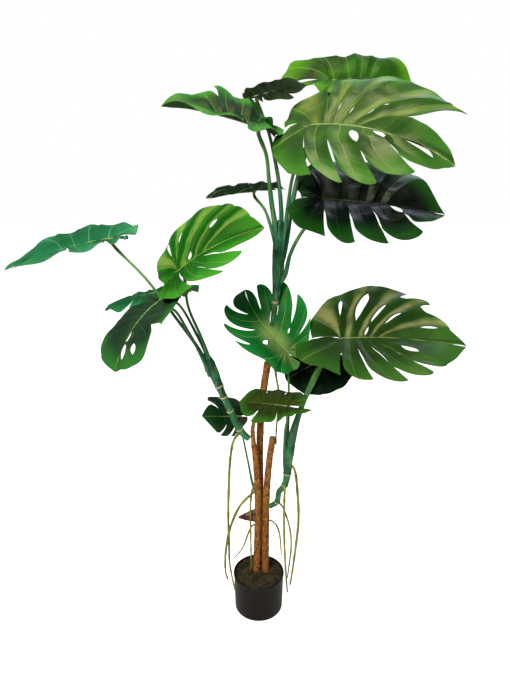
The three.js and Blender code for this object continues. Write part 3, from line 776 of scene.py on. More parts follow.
@dataclass(frozen=True)
class Growth:
    """How every blade grows, in shares of the midrib unless a unit is named."""

    thickness_mm: float = 1.0
    rib_radii_mm: tuple[float, ...] = (3.0, 2.2, 1.5, 1.0, 0.6)
    rib_length: float = 0.96
    rib_sink_mm: float = 0.6
    vein_bend: tuple[float, float] = (0.25, 0.55)
    lead: tuple[float, float] = (0.7, 0.7)
    fan: tuple[float, float] = (0.6, 0.6)
    slit: float = 0.1
    half_hole: float = 0.42
    heel: float = 0.32
    toe: float = 0.03
    hook: float = 1.1
    notch: float = 0.02
    joint_mm: float = 6.0
    neck_mm: float = 13.0
    knee_mm: float = 42.0
    stem_air_mm: float = 2.0
    crease: float = 0.1
    wave_turns: float = 31.0
    groove_width: float = 0.12
    vein_groove_mm: float = 0.9
    edge_curl_mm: float = 1.2
    swell_mm: float = 5.0
    swell_size_mm: float = 52.0
    swell_seed: float = 5.0
    knee_swell: float = 0.16
    knee_length: float = 0.03
    wing: float = 0.12
    stalk_end: float = 1.15


GROWTH = Growth()
PLAIN_HALVES = ({}, {})


@dataclass
class Leaf:
    """One leaf: a split blade on its petiole.

    Lengths on the blade are shares of the midrib, and pairs hold the left half, then the right one.

    Attributes:
        name: the solid's name.
        base: the joint of petiole and blade.
        tip: the blade's tip.
        face: the way that the middle of the blade faces.
        droop: how far the midrib bends down, in degrees.
        fold: how steeply each half rises beside the midrib, in degrees.
        curl: how much less steep it gets for each midrib's length aside, in degrees.
        wave: the height of the margin's waves.
        reach: from the joint to the margin at each of MARGIN_ANGLES.
        split: where the split on each inner seam starts, from 0 at the midrib; 1 for no split.
        petiole: the petiole's path up to its neck.
        radii: its radii at these points.
        finish: the look of the upper side.
        seams: the seams' places on the margin, from 0 at the tip to 1 at the sinus.
        slit: how wide the splits are, as a share of the room beside them.
        lead: where the foremost side vein leaves the midrib.
        fan: the place on the margin from which on all veins leave at the joint.
        holes: for a seam, its holes: where each starts and ends, and half its width.
        points: for a lobe with a pointed front: how far it stands out, and how far it narrows.
        frame: the blade's directions, which posture works out.
    """

    name: str
    base: Point
    tip: Point
    face: Point
    droop: float
    fold: Sequence[float]
    curl: Sequence[float]
    wave: float
    reach: Sequence[Sequence[float]]
    split: Sequence[Sequence[float]]
    petiole: Sequence[Point]
    radii: Sequence[float]
    finish: BladeFinish
    seams: Sequence[Sequence[float]] = (SEAMS, SEAMS)
    slit: float = GROWTH.slit
    lead: Sequence[float] = GROWTH.lead
    fan: Sequence[float] = GROWTH.fan
    holes: Sequence[dict[int, Sequence[tuple[float, float, float]]]] = PLAIN_HALVES
    points: Sequence[dict[int, tuple[float, float]]] = PLAIN_HALVES
    frame: dict = field(default_factory=dict)

    def posture(self) -> None:
        """Works out the blade's length and its directions at the joint."""
        base = np.array(self.base, float)
        chord = np.array(self.tip, float) - base
        bend = math.radians(self.droop)
        length = float(np.linalg.norm(chord)) * (bend / 2) / math.sin(bend / 2)
        chord /= np.linalg.norm(chord)
        up = np.array(self.face, float)
        up -= chord * up.dot(chord)
        up /= np.linalg.norm(up)
        ahead = chord * math.cos(bend / 2) + up * math.sin(bend / 2)
        normal = up * math.cos(bend / 2) - chord * math.sin(bend / 2)
        self.frame = {
            "base": base, "bend": bend, "length": length, "ahead": ahead, "normal": normal,
            "left": np.cross(normal, ahead),
        }

    def bent(self, side: Side, u: Array, v: Array, lift: Array) -> Array:
        """Bends flat points into place.

        Args:
            side: the half they lie on.
            u: shares of the midrib ahead of the joint.
            v: shares aside from it.
            lift: shares above the blade.

        Returns:
            Places in millimetres.
        """
        f = self.frame
        length, bend = f["length"], f["bend"]
        turn = bend * u
        out = v * length
        slope = math.radians(self.fold[side.value]) - math.radians(self.curl[side.value]) * v
        aside = out * np.cos(slope)
        height = out * np.sin(slope) + lift * length
        ahead = length * np.sin(turn) / bend + height * np.sin(turn)
        rise = length * (np.cos(turn) - 1) / bend + height * np.cos(turn)
        sign = 1 if side is Side.LEFT else -1
        return (
            f["base"] + ahead[..., None] * f["ahead"] + rise[..., None] * f["normal"]
            + (sign * aside)[..., None] * f["left"]
        )

    def margin(self, side: Side, m: Array) -> Array:
        """The flat margin of one half, from the tip at 0 round to the sinus at 1."""
        angles = np.radians(MARGIN_ANGLES)
        reach = np.array(self.reach[side.value])
        p = np.stack([reach * np.cos(angles), reach * np.sin(angles)], -1)
        at = m * (len(p) - 1)
        i = np.minimum(np.floor(at).astype(int), len(p) - 1)
        w = (at - i)[..., None]
        p0, p1 = p[np.maximum(i - 1, 0)], p[i]
        p2, p3 = p[np.minimum(i + 1, len(p) - 1)], p[np.minimum(i + 2, len(p) - 1)]
        v0, v1 = (p2 - p0) / 2, (p3 - p1) / 2
        cube = (2 * p1 - 2 * p2 + v0 + v1) * w**3
        return cube + (-3 * p1 + 3 * p2 - 2 * v0 - v1) * w**2 + v0 * w + p1

    def vein(self, side: Side, m: Array, t: Array) -> tuple[Array, Array]:
        """Flat places on the veins: m along the margin, t from midrib to margin."""
        end = self.margin(side, m)
        start = self.lead[side.value] * np.maximum(0, 1 - m / self.fan[side.value])
        bend_u, bend_v = GROWTH.vein_bend
        bend_u = start + (end[..., 0] - start) * bend_u
        s = 1 - t
        u = s * s * start + 2 * s * t * bend_u + t * t * end[..., 0]
        v = 2 * s * t * end[..., 1] * bend_v + t * t * end[..., 1]
        return u, v

    def half_gap(self, side: Side, seam: int, t: Array, hook: float) -> Array:
        """Half the width of a seam's opening, as a share of the margin.

        Args:
            side: the half it lies on.
            seam: the seam, counted from 0 at the tip.
            t: places on the seam, from 0 at the midrib to 1 at the margin.
            hook: how far the split closes again at the margin.

        Returns:
            Half a width for each place: a hole's, a split's, or 0 where the blade is whole.
        """
        if seam in (0, LOBES):
            return np.zeros_like(t)
        seams = self.seams[side.value]
        room = min(seams[seam] - seams[seam - 1], seams[seam + 1] - seams[seam])
        start = self.split[side.value][seam - 1]
        gap = np.zeros_like(t)
        for low, high, half in self.holes[side.value].get(seam, ()):
            middle = np.clip((2 * t - low - high) / (high - low), -1, 1)
            gap = np.maximum(gap, min(half, GROWTH.half_hole * room) * np.sqrt(1 - middle**2))
        if start < 1:
            share = np.clip((t - start) / (1 - start), 0, 1)
            cut = self.slit * room * (share**0.75 - hook * share**2)
            gap = np.where(t > start, cut, gap)
        return gap

    def draw_back(self, side: Side, lobe: int, t: Array, w: Array) -> Array:
        """How far a lobe's points are drawn back from the margin along their veins.

        Args:
            side: the half it lies on.
            lobe: the lobe, counted from 0 at the tip.
            t: places on the veins, from 0 at the midrib to 1 at the margin.
            w: places across the lobe, from 1 at its front to -1.

        Returns:
            A share of the vein for each place.
        """
        rear = self.split[side.value][lobe] if lobe + 1 < LOBES else 1
        front = self.split[side.value][lobe - 1] if lobe > 0 else 1
        slant = 0 * t * w
        if rear < 1:
            tail = (1 - w) / 2
            slant = GROWTH.heel * (1 - np.sqrt(1 - tail**2)) * np.clip((t - rear) / (1 - rear), 0, 1)
        if lobe in self.points[side.value]:
            slant = slant - self.points[side.value][lobe][0] * np.clip(w, 0, 1) ** 2 * t**3
        if front < 1:
            slant = slant + GROWTH.toe * ((1 + w) / 2) ** 9 * np.clip((t - front) / (1 - front), 0, 1)
        notch = GROWTH.notch * w * w * np.clip((t - 0.6) / 0.4, 0, 1) ** 2
        whole = [0 < k < LOBES and self.split[side.value][k - 1] == 1 for k in (lobe, lobe + 1)]
        return slant + notch * np.where(w > 0, *whole)

    def column(self, side: Side, lobe: int, w: float) -> tuple[Array, Array, Array]:
        """One column of the blade's grid, laid from the midrib out to the margin.

        Args:
            side: the half it lies on.
            lobe: its lobe, counted from 0 at the tip.
            w: its place across the lobe, from 1 at the front to -1.

        Returns:
            Its places in millimetres, its UV places and its distance across from the nearest vein.
        """
        t = ROWS
        length = self.frame["length"]
        low = self.seams[side.value][lobe] + self.half_gap(side, lobe, t, GROWTH.hook)
        if lobe in self.points[side.value]:
            low = low + self.points[side.value][lobe][1] * smooth((t - 0.5) / 0.5)
        high = self.seams[side.value][lobe + 1] - self.half_gap(side, lobe + 1, t, 0)
        m = low + (high - low) * (1 - w) / 2
        u, v = self.vein(side, m, t - self.draw_back(side, lobe, t, np.full_like(t, w)))
        crease = ((1 - w) / 2) ** 2 if lobe == 0 else w * w
        lift = GROWTH.crease * crease * t * (1 - t)
        lift = lift + self.wave * t * t * np.sin(GROWTH.wave_turns * m + self.droop)
        off = (w - 1) if lobe == 0 else w
        groove = math.exp(-((off / GROWTH.groove_width) ** 2)) * smooth((1 - t) / 0.4)
        lift -= groove * GROWTH.vein_groove_mm / length
        lift -= GROWTH.edge_curl_mm / length * (abs(w) * t) ** 6
        flat = np.stack([u * length, v * length, np.full_like(u, 90.0 * side.value + self.droop)], -1)
        swell = GROWTH.swell_mm / length * grain(flat, GROWTH.swell_size_mm, GROWTH.swell_seed)
        lift += swell * smooth(t / 0.4)
        uv = np.stack([u, v if side is Side.LEFT else -v], -1)
        return self.bent(side, u, v, lift), uv, np.full_like(t, off)

    def blade(self) -> Piece:
        """The blade as one sheet: a grid laid on the veins and opened along its splits."""
        order = [(Side.LEFT, k, w) for k in range(LOBES - 1, -1, -1) for w in STRIPS[::-1]]
        order += [(Side.RIGHT, k, w) for k in range(LOBES) for w in STRIPS]
        points, uv, across = (np.array(part) for part in zip(*(self.column(*place) for place in order)))
        outwards = np.broadcast_to(ROWS, across.shape)
        piece = woven(self.name, points, uv, across=across, outwards=outwards)
        self.open_seams(piece)
        return piece

    def open_seams(self, piece: Piece) -> None:
        """Takes out the strips between lobes and closes the seams that meet."""
        mesh = piece.data
        column = np.empty(len(mesh.vertices), np.float32)
        mesh.attributes["column"].data.foreach_get("value", column)
        wide = len(STRIPS)
        activate(piece)
        bpy.ops.object.mode_set(mode="EDIT")
        bpy.ops.mesh.select_mode(type="FACE")
        bpy.ops.mesh.select_all(action="DESELECT")
        bpy.ops.object.mode_set(mode="OBJECT")
        for face in mesh.polygons:
            first = min(column[v] for v in face.vertices)
            face.select = int(first) % wide == wide - 1
        bpy.ops.object.mode_set(mode="EDIT")
        bpy.ops.mesh.delete(type="FACE")
        bpy.ops.mesh.select_mode(type="VERT")
        bpy.ops.mesh.select_all(action="SELECT")
        bpy.ops.mesh.remove_doubles(threshold=0.03 * MM)
        bpy.ops.mesh.dissolve_degenerate(threshold=0.02 * MM)
        bpy.ops.object.mode_set(mode="OBJECT")
        middle = mesh.polygons[len(mesh.polygons) // 2]
        if Vector(self.frame["normal"]).dot(middle.normal) < 0:
            mesh.flip_normals()

    def stalk(self) -> list[Piece]:
        """The petiole with its knee and the midrib below the blade."""
        f = self.frame
        joint = f["base"] + f["ahead"] * GROWTH.joint_mm
        neck = joint - f["normal"] * GROWTH.neck_mm
        course = Course([*self.petiole, neck, joint - f["normal"]])
        radii = [*self.radii, self.radii[-1], self.radii[-1] * GROWTH.stalk_end]
        knee = 1 - GROWTH.knee_mm / course.length

        def relief(along: Array, turn: Array) -> Array:
            """A swollen knee, and wings at the foot."""
            swell = GROWTH.knee_swell * np.exp(-(((along - knee) / GROWTH.knee_length) ** 2))
            wings = GROWTH.wing * np.cos(2 * turn) * smooth((0.35 - along) / 0.2)
            return 1 + swell + wings

        petiole = limb(f"{self.name}_petiole", course, radii, sides=16, steps=60, relief=relief)
        paint(petiole, "along", course.shares(petiole))
        u = np.linspace(0.0, GROWTH.rib_length, 40)
        sink = np.full_like(u, -GROWTH.rib_sink_mm / f["length"])
        line = Course(self.bent(Side.LEFT, u, np.zeros_like(u), sink))
        rib = limb(f"{self.name}_rib", line, GROWTH.rib_radii_mm, sides=10, steps=50, blunt=0.04)
        paint(rib, "along", np.ones(len(rib.data.vertices)))
        return [petiole, rib]

    def build(self, dress: dict[str, Material], cutter: Optional[Piece]) -> Piece:
        """Makes the whole leaf as one piece.

        Args:
            dress: the shared materials of stalk, rim and underside.
            cutter: a closed piece to cut out of the blade, or None.

        Returns:
            The leaf.
        """
        self.posture()
        blade = self.blade()
        skin = self.finish.material(self.name.replace("_", " "))
        coat(blade, skin, dress["underside"], dress["rim"])
        apply(
            blade, "SOLIDIFY", thickness=GROWTH.thickness_mm * MM, offset=0.0, use_rim=True,
            material_offset=1, material_offset_rim=2,
        )
        if cutter is not None:
            apply(blade, "BOOLEAN", operation="DIFFERENCE", object=cutter, solver="EXACT")
        stalk = self.stalk()
        for piece in stalk:
            coat(piece, dress["stalk"])
        leaf = joined([blade, *stalk])
        leaf.name = f"{self.name}_fine"
        soften(leaf, 50)
        return leaf


# ---- stems, canes and roots ----


@dataclass
class Cane:
    """A woody cane under fibrous bark."""

    name: str
    path: Sequence[Point]
    radii: Sequence[float]
    ridge: float = 0.07
    collar: float = 0.07
    collar_turns: float = 46.0
    fibre: tuple[float, float] = (1.1, 3.2)

    def build(self, bark: Material, wood: Material) -> Piece:
        """Makes the cane with furrows, worn collars and a sawn top."""
        course = Course(self.path)

        def relief(along: Array, turn: Array) -> Array:
            """Long ridges and worn collars."""
            ridges = self.ridge * np.sin(3 * turn + 9 * along)
            collars = self.collar * np.sin(self.collar_turns * along + 0.5 * np.sin(turn)) ** 8
            return 1 + ridges + collars

        piece = limb(
            f"{self.name}_fine", course, self.radii, sides=40, steps=240, relief=relief,
            rough=self.fibre,
        )
        coat(piece, bark, wood)
        for face in piece.data.polygons:
            if len(face.vertices) > 4:
                face.material_index = 1
        soften(piece, 60)
        return piece


@dataclass
class Shoot:
    """A green shoot with ringed nodes."""

    name: str
    skin: str
    path: Sequence[Point]
    radii: Sequence[float]
    rings: tuple[float, ...]
    swell: float = 0.16
    swell_length: float = 0.016
    ridge: float = 0.02
    skin_grain: tuple[float, float] = (0.25, 6.0)

    def build(self) -> Piece:
        """Makes the shoot with a swelling at each node."""
        course = Course(self.path)

        def relief(along: Array, turn: Array) -> Array:
            """A swelling at each ring, and slight ridges."""
            bumps = (np.exp(-(((along - ring) / self.swell_length) ** 2)) for ring in self.rings)
            return 1 + sum(self.swell * bump for bump in bumps) + self.ridge * np.sin(5 * turn)

        piece = limb(
            f"{self.name}_fine", course, self.radii, sides=32, steps=160, relief=relief,
            rough=self.skin_grain,
        )
        paint(piece, "along", course.shares(piece))
        coat(piece, ShootFinish(self.skin, self.rings).material())
        soften(piece, 50)
        return piece


@dataclass
class Root:
    """An aerial root that hangs free."""

    name: str
    radius: float
    path: Sequence[Point]
    knot: float = 0.1
    knot_mm: float = 9.0
    skin_grain: tuple[float, float] = (0.3, 4.0)

    def build(self, skin: Material) -> Piece:
        """Makes the root, slightly knotted, with a rounded end."""
        course = Course(self.path)
        radii = [self.radius, self.radius, self.radius * 0.9, self.radius * 0.6]

        def relief(along: Array, turn: Array) -> Array:
            """Slight knots."""
            phase = course.length / self.knot_mm * along + 2 * np.sin(7 * along)
            return 1 + self.knot * np.sin(phase)

        piece = limb(
            f"{self.name}_fine", course, radii, sides=12, steps=110, relief=relief,
            rough=self.skin_grain, blunt=0.02,
        )
        coat(piece, skin)
        soften(piece, 60)
        return piece


@dataclass
class DrySheath:
    """A dry papery leaf sheath that still clings to a cane."""

    base: Point = (-8, 6, 365)
    tip: Point = (-70, -2, 362)
    half_height: float = 26
    hollow: float = 12
    thickness: float = 1.0
    ragged: float = 0.05
    pleat: float = 0.8
    steps: int = 40
    ribs: int = 24

    def build(self, husk: Material) -> Piece:
        """Makes the tapering half tube with a ragged edge."""
        share = np.linspace(0, 1, self.steps)[:, None]
        turn = (np.linspace(0, 1, self.ribs) - 0.5)[None] * math.pi
        width = 1 - 0.94 * share**1.4
        width = width * (1 + self.ragged * np.sin(23 * share) * np.abs(np.sin(turn)))
        line = np.array(self.base) * (1 - share[..., None]) + np.array(self.tip) * share[..., None]
        points = np.broadcast_to(line, (self.steps, self.ribs, 3)).copy()
        points[..., 2] += self.half_height * width * np.sin(turn)
        points[..., 1] -= self.hollow * width * np.cos(turn)
        points[..., 1] += self.pleat * np.sin(9 * turn + 3 * share)
        piece = woven("dry_sheath_fine", points)
        apply(piece, "SOLIDIFY", thickness=self.thickness * MM, offset=0.0)
        coat(piece, husk)
        soften(piece, 60)
        return piece


# ---- pot and soil ----


@dataclass
class NurseryPot:
    """A plain turned pot with a shallow band round its mouth."""

    height: float = 140
    foot: float = 83
    rim: float = 87.5
    wall: float = 3
    floor: float = 4
    band: float = 9
    stand: float = 1.5
    sides: int = 128

    def wall_at(self, z: float) -> float:
        """The outer radius below the band."""
        return self.foot + (self.rim - self.stand - self.foot) * z / (self.height - self.band)

    def build(self, plastic: Material) -> Piece:
        """Turns the pot from its profile."""
        h, b = self.height, self.height - self.band
        profile = [
            (0, 1.2), (40, 1.0), (60, 0.6), (self.foot - 5, 0.2), (self.foot - 2.4, 0),
            (self.foot - 1, 0.5), (self.foot - 0.1, 2), (self.wall_at(6), 6),
            *[(self.wall_at(z), z) for z in np.linspace(14, b - 8, 9)],
            (self.wall_at(b - 2), b - 2), (self.wall_at(b - 0.4), b - 0.4), (self.rim - 0.6, b + 0.5),
            (self.rim, b + 1.4), (self.rim, h - 2), (self.rim - 0.35, h - 0.7), (self.rim - 1.2, h),
            (self.rim - self.wall - 0.9, h), (self.rim - self.wall - self.stand, h - 0.8),
            (self.rim - self.wall - self.stand - 0.2, h - 4), (self.foot - self.wall, self.floor + 2),
            (self.foot - self.wall - 2, self.floor), (0, self.floor),
        ]
        turn = np.linspace(0, 2 * math.pi, self.sides + 1)[:, None]
        r, z = np.array(profile).T
        points = np.stack([np.cos(turn) * r, np.sin(turn) * r, z + 0 * turn], -1)
        piece = woven("pot_fine", points)
        weld(piece)
        coat(piece, plastic)
        soften(piece, 35)
        return piece


@dataclass
class PottingSoil:
    """The soil that fills the pot, with crumbs on top."""

    radius: float = 82.0
    foot: float = 79.0
    bottom: float = 4.4
    top: float = 135
    crown: float = 3
    crumbs: int = 420
    sides: int = 120
    rings: int = 44
    edge: float = 4
    clearance: float = 15.5
    crumb_size: tuple[float, float] = (0.9, 2.6)
    crumb_shape: tuple[float, float, float] = (1, 0.8, 0.6)
    crumb_lift: float = 0.6
    lumps: Sequence[Point] = ((1.5, 14.0, 3.0), (0.9, 5.0, 8.0))
    seed: int = 7
    canes: Sequence[Point] = ((-6, 8), (24, 6), (5, 36))

    def build(self, soil: Material) -> Piece:
        """Makes the lumpy surface and scatters crumbs, seeded, clear of the canes."""
        turn = np.linspace(0, 2 * math.pi, self.sides + 1)[:, None]
        ring = np.arange(self.rings + 1)[None]
        r = np.minimum(ring / (self.rings - 1), 1.0)
        rim = np.where(ring < self.rings, self.radius, self.foot)
        x, y = np.cos(turn) * r * rim, np.sin(turn) * r * rim
        z = self.top + self.crown * (1 - np.clip((r - 0.5) / 0.5, 0, 1)) + 0 * turn
        points = np.stack([x, y, z], -1)
        lumps = sum(height * grain(points, size, seed) for height, size, seed in self.lumps)
        points[..., 2] += lumps * (ring < self.rings - 2)
        points[:, -1, 2] = self.bottom
        points[-1] = points[0]
        pieces = [woven("soil_fine", points)]
        weld(pieces[0])
        draw = np.random.default_rng(self.seed)
        while len(pieces) < self.crumbs:
            where = draw.uniform(-1, 1, 2) * (self.radius - self.edge)
            size = draw.uniform(*self.crumb_size)
            turned = draw.uniform(0, 3.1, 3)
            if np.hypot(*where) > self.radius - self.edge:
                continue
            if min(np.hypot(*(where - cane)) for cane in self.canes) < self.clearance:
                continue
            deselect()
            bpy.ops.mesh.primitive_ico_sphere_add(subdivisions=1, radius=size * MM)
            crumb = bpy.context.object
            crumb.scale = self.crumb_shape
            crumb.rotation_euler = turned
            lift = self.top + self.crown * (1 - max(0.0, (np.hypot(*where) / self.radius - 0.5) / 0.5))
            crumb.location = (where[0] * MM, where[1] * MM, (lift + self.crumb_lift) * MM)
            bpy.ops.object.transform_apply(location=True, rotation=True, scale=True)
            pieces.append(crumb)
        piece = joined(pieces)
        coat(piece, soil)
        soften(piece, 60)
        return piece


# ---- the studio ----


@dataclass(frozen=True)
class Lamp:
    """A soft square lamp that looks at the plant. Its place and size are in metres."""

    name: str
    place: tuple[float, float, float]
    size: float
    power: float
    tint: str

    def hang(self) -> None:
        """Puts the lamp in the scene."""
        data = bpy.data.lights.new(self.name, "AREA")
        data.size = self.size
        data.energy = self.power
        data.color = colour(self.tint)[:3]
        lamp = bpy.data.objects.new(self.name, data)
        lamp.location = self.place
        aim = Vector(LAMP_AIM) - Vector(self.place)
        lamp.rotation_euler = aim.to_track_quat("-Z", "Y").to_euler()
        bpy.context.scene.collection.objects.link(lamp)


@dataclass
class Studio:
    """Camera, lamps, sky and a plain pale floor. Places are in metres."""

    camera_place: tuple[float, float, float] = (-0.013, -1.615, 1.515)
    pitch: float = 18.0
    lens: float = 29.647
    sensor: float = 36.0
    sky_seen: float = 1.0
    floor_glow: float = 1.1
    sky_light: float = 0.12
    lamps: Sequence[Lamp] = (
        Lamp("key", (-1.3, -2.6, 3.0), 1.0, 90.0, "fff8ea"),
        Lamp("top", (0.2, 0.1, 3.6), 1.2, 45.0, "fff4d8"),
        Lamp("back", (1.2, 2.6, 3.0), 1.4, 10.0, "dfeaff"),
    )

    def build(self) -> None:
        """Sets up everything that isn't the plant."""
        data = bpy.data.cameras.new("camera")
        data.lens = self.lens
        data.sensor_width = self.sensor
        data.clip_start, data.clip_end = 0.05, 60
        camera = bpy.data.objects.new("camera", data)
        camera.location = self.camera_place
        camera.rotation_euler = (math.radians(90 - self.pitch), 0, 0)
        bpy.context.scene.collection.objects.link(camera)
        bpy.context.scene.camera = camera
        for lamp in self.lamps:
            lamp.hang()
        self.sky()
        self.floor()
        bpy.context.scene.view_settings.view_transform = "Standard"

    def sky(self) -> None:
        """An even pale sky, brighter to the eye than to the plant."""
        world = bpy.data.worlds.new("sky")
        world.use_nodes = True
        nodes, links = world.node_tree.nodes, world.node_tree.links
        back = nodes["Background"]
        back.inputs["Color"].default_value = (1, 1, 1, 1)
        path = nodes.new("ShaderNodeLightPath")
        strength = nodes.new("ShaderNodeMapRange")
        strength.inputs["To Min"].default_value = self.sky_light
        strength.inputs["To Max"].default_value = self.sky_seen
        links.new(path.outputs["Is Camera Ray"], strength.inputs["Value"])
        links.new(strength.outputs[0], back.inputs["Strength"])
        bpy.context.scene.world = world

    def floor(self) -> None:
        """A wide pale floor under the pot."""
        deselect()
        bpy.ops.mesh.primitive_plane_add(size=24, location=(0, 0, 0))
        floor = bpy.context.object
        floor.name = "floor"
        s = Sheet("pale floor")
        base = s.coats("f4f4f2", (s.noise(3.0, 3), 0.4, 0.6, 0.0, 1.0, "f8f8f7"))
        seen = s.nodes.new("ShaderNodeLightPath").outputs["Is Camera Ray"]
        s.fixed(Emission_Color=(1, 1, 1, 1))
        s.plug(s.shader.inputs["Emission Strength"], s.times(seen, self.floor_glow))
        floor.data.materials.append(s.finish(base, 0.9))


# ---- the plant's own numbers ----

CANES = [
    Cane(
        "cane_front_left",
        [(-6, 8, 40), (-6, 8, 129), (-3, 0, 420), (-10, -6, 579), (-18, -11, 655), (-20, -13, 700),
         (-12, -15, 738)],
        [12.5, 12, 11.5, 10, 5],
    ),
    Cane(
        "cane_front_right",
        [(24, 6, 40), (24, 6, 126), (24, 2, 419), (34, 0, 575), (45, -2, 662)],
        [12.5, 12, 11.5, 10.5, 10],
    ),
    Cane(
        "cane_rear",
        [(5, 36, 40), (5, 36, 134), (4, 35, 405), (3, 34, 630), (11, 32, 778), (27, 32, 905)],
        [12, 11.5, 11.5, 11, 11, 11],
    ),
]

CROWN_STEM = [
    (24.5, 32, 888), (36, 32, 980), (48, 32, 1098), (53, 32, 1150), (56, 31, 1223), (57, 30, 1312),
    (57, 30, 1345),
]
CROWN_RADII = [7.5, 9, 8.5, 8.5, 9, 13, 17.5, 18.5, 17.5, 5]
SHOOTS = [
    Shoot("stem_crown", "crown stem", CROWN_STEM, CROWN_RADII, (0.28, 0.47)),
    Shoot(
        "shoot_left", "left shoot",
        [(-34, -11, 664), (-51, -15, 683), (-66, -22, 712), (-88, -30, 765), (-108, -36, 818),
         (-124, -40, 862), (-150, -46, 938), (-161, -47, 970)],
        [10, 11.5, 11.5, 11, 10.5, 10.5, 13, 16, 15.5, 5], (0.15, 0.37, 0.52, 0.64),
    ),
    Shoot(
        "shoot_right", "right shoot",
        [(38, -4, 407), (60, -14, 431), (66, -18, 471), (84, -24, 502), (91, -28, 546), (92, -30, 600),
         (97, -30, 650), (99, -31, 685)],
        [8.5, 9, 9, 10, 11.5, 14.5, 17, 17.5, 5], (0.115, 0.376, 0.53),
    ),
]

ROOTS = [
    Root(
        "root_left_long", 4.2,
        [(-57, -20, 693), (-78, -32, 672), (-90, -38, 619), (-99, -42, 470), (-101, -42, 374),
         (-100, -42, 310), (-99, -42, 211), (-90, -48, 148), (-80, -56, 100)],
    ),
    Root(
        "root_left_arch", 4.4,
        [(-5, -4, 474), (-26, -18, 461), (-59, -32, 432), (-86, -50, 383), (-104, -60, 317),
         (-113, -62, 231), (-111, -62, 184), (-104, -60, 152)],
    ),
    Root(
        "root_into_soil", 3.2,
        [(-6, 2, 488), (-20, -4, 477), (-27, -12, 433), (-28, -15, 356), (-27, -8, 253), (-26, 4, 165),
         (-26, 12, 115)],
    ),
    Root(
        "root_left_short", 2.8,
        [(-6, 6, 330), (-24, 10, 318), (-36, 6, 292), (-56, -2, 238), (-88, -18, 203)],
    ),
    Root(
        "root_right_inner", 3,
        [(60, -16, 432), (73, -22, 425), (88, -24, 392), (104, -27, 333), (109, -32, 268),
         (102, -42, 190), (97, -46, 148)],
    ),
    Root(
        "root_right_middle", 3.8,
        [(84, -28, 505), (83, -42, 490), (82, -48, 406), (85, -58, 289), (90, -68, 197), (97, -74, 113)],
    ),
    Root(
        "root_right_outer", 4.4,
        [(92, -28, 580), (110, -33, 571), (126, -34, 470), (131, -34, 367), (124, -36, 268),
         (112, -46, 160), (106, -52, 122)],
    ),
    Root(
        "root_right_short", 2.8,
        [(28, 6, 345), (45, 10, 338), (60, 10, 322), (71, 8, 287), (79, 6, 200)],
    ),
    Root(
        "root_rear_drop", 3.4,
        [(31, 31, 920), (45, 30, 900), (56, 33, 845), (64, 33, 790), (61, 26, 735), (56, 20, 680),
         (55, 12, 625)],
    ),
]

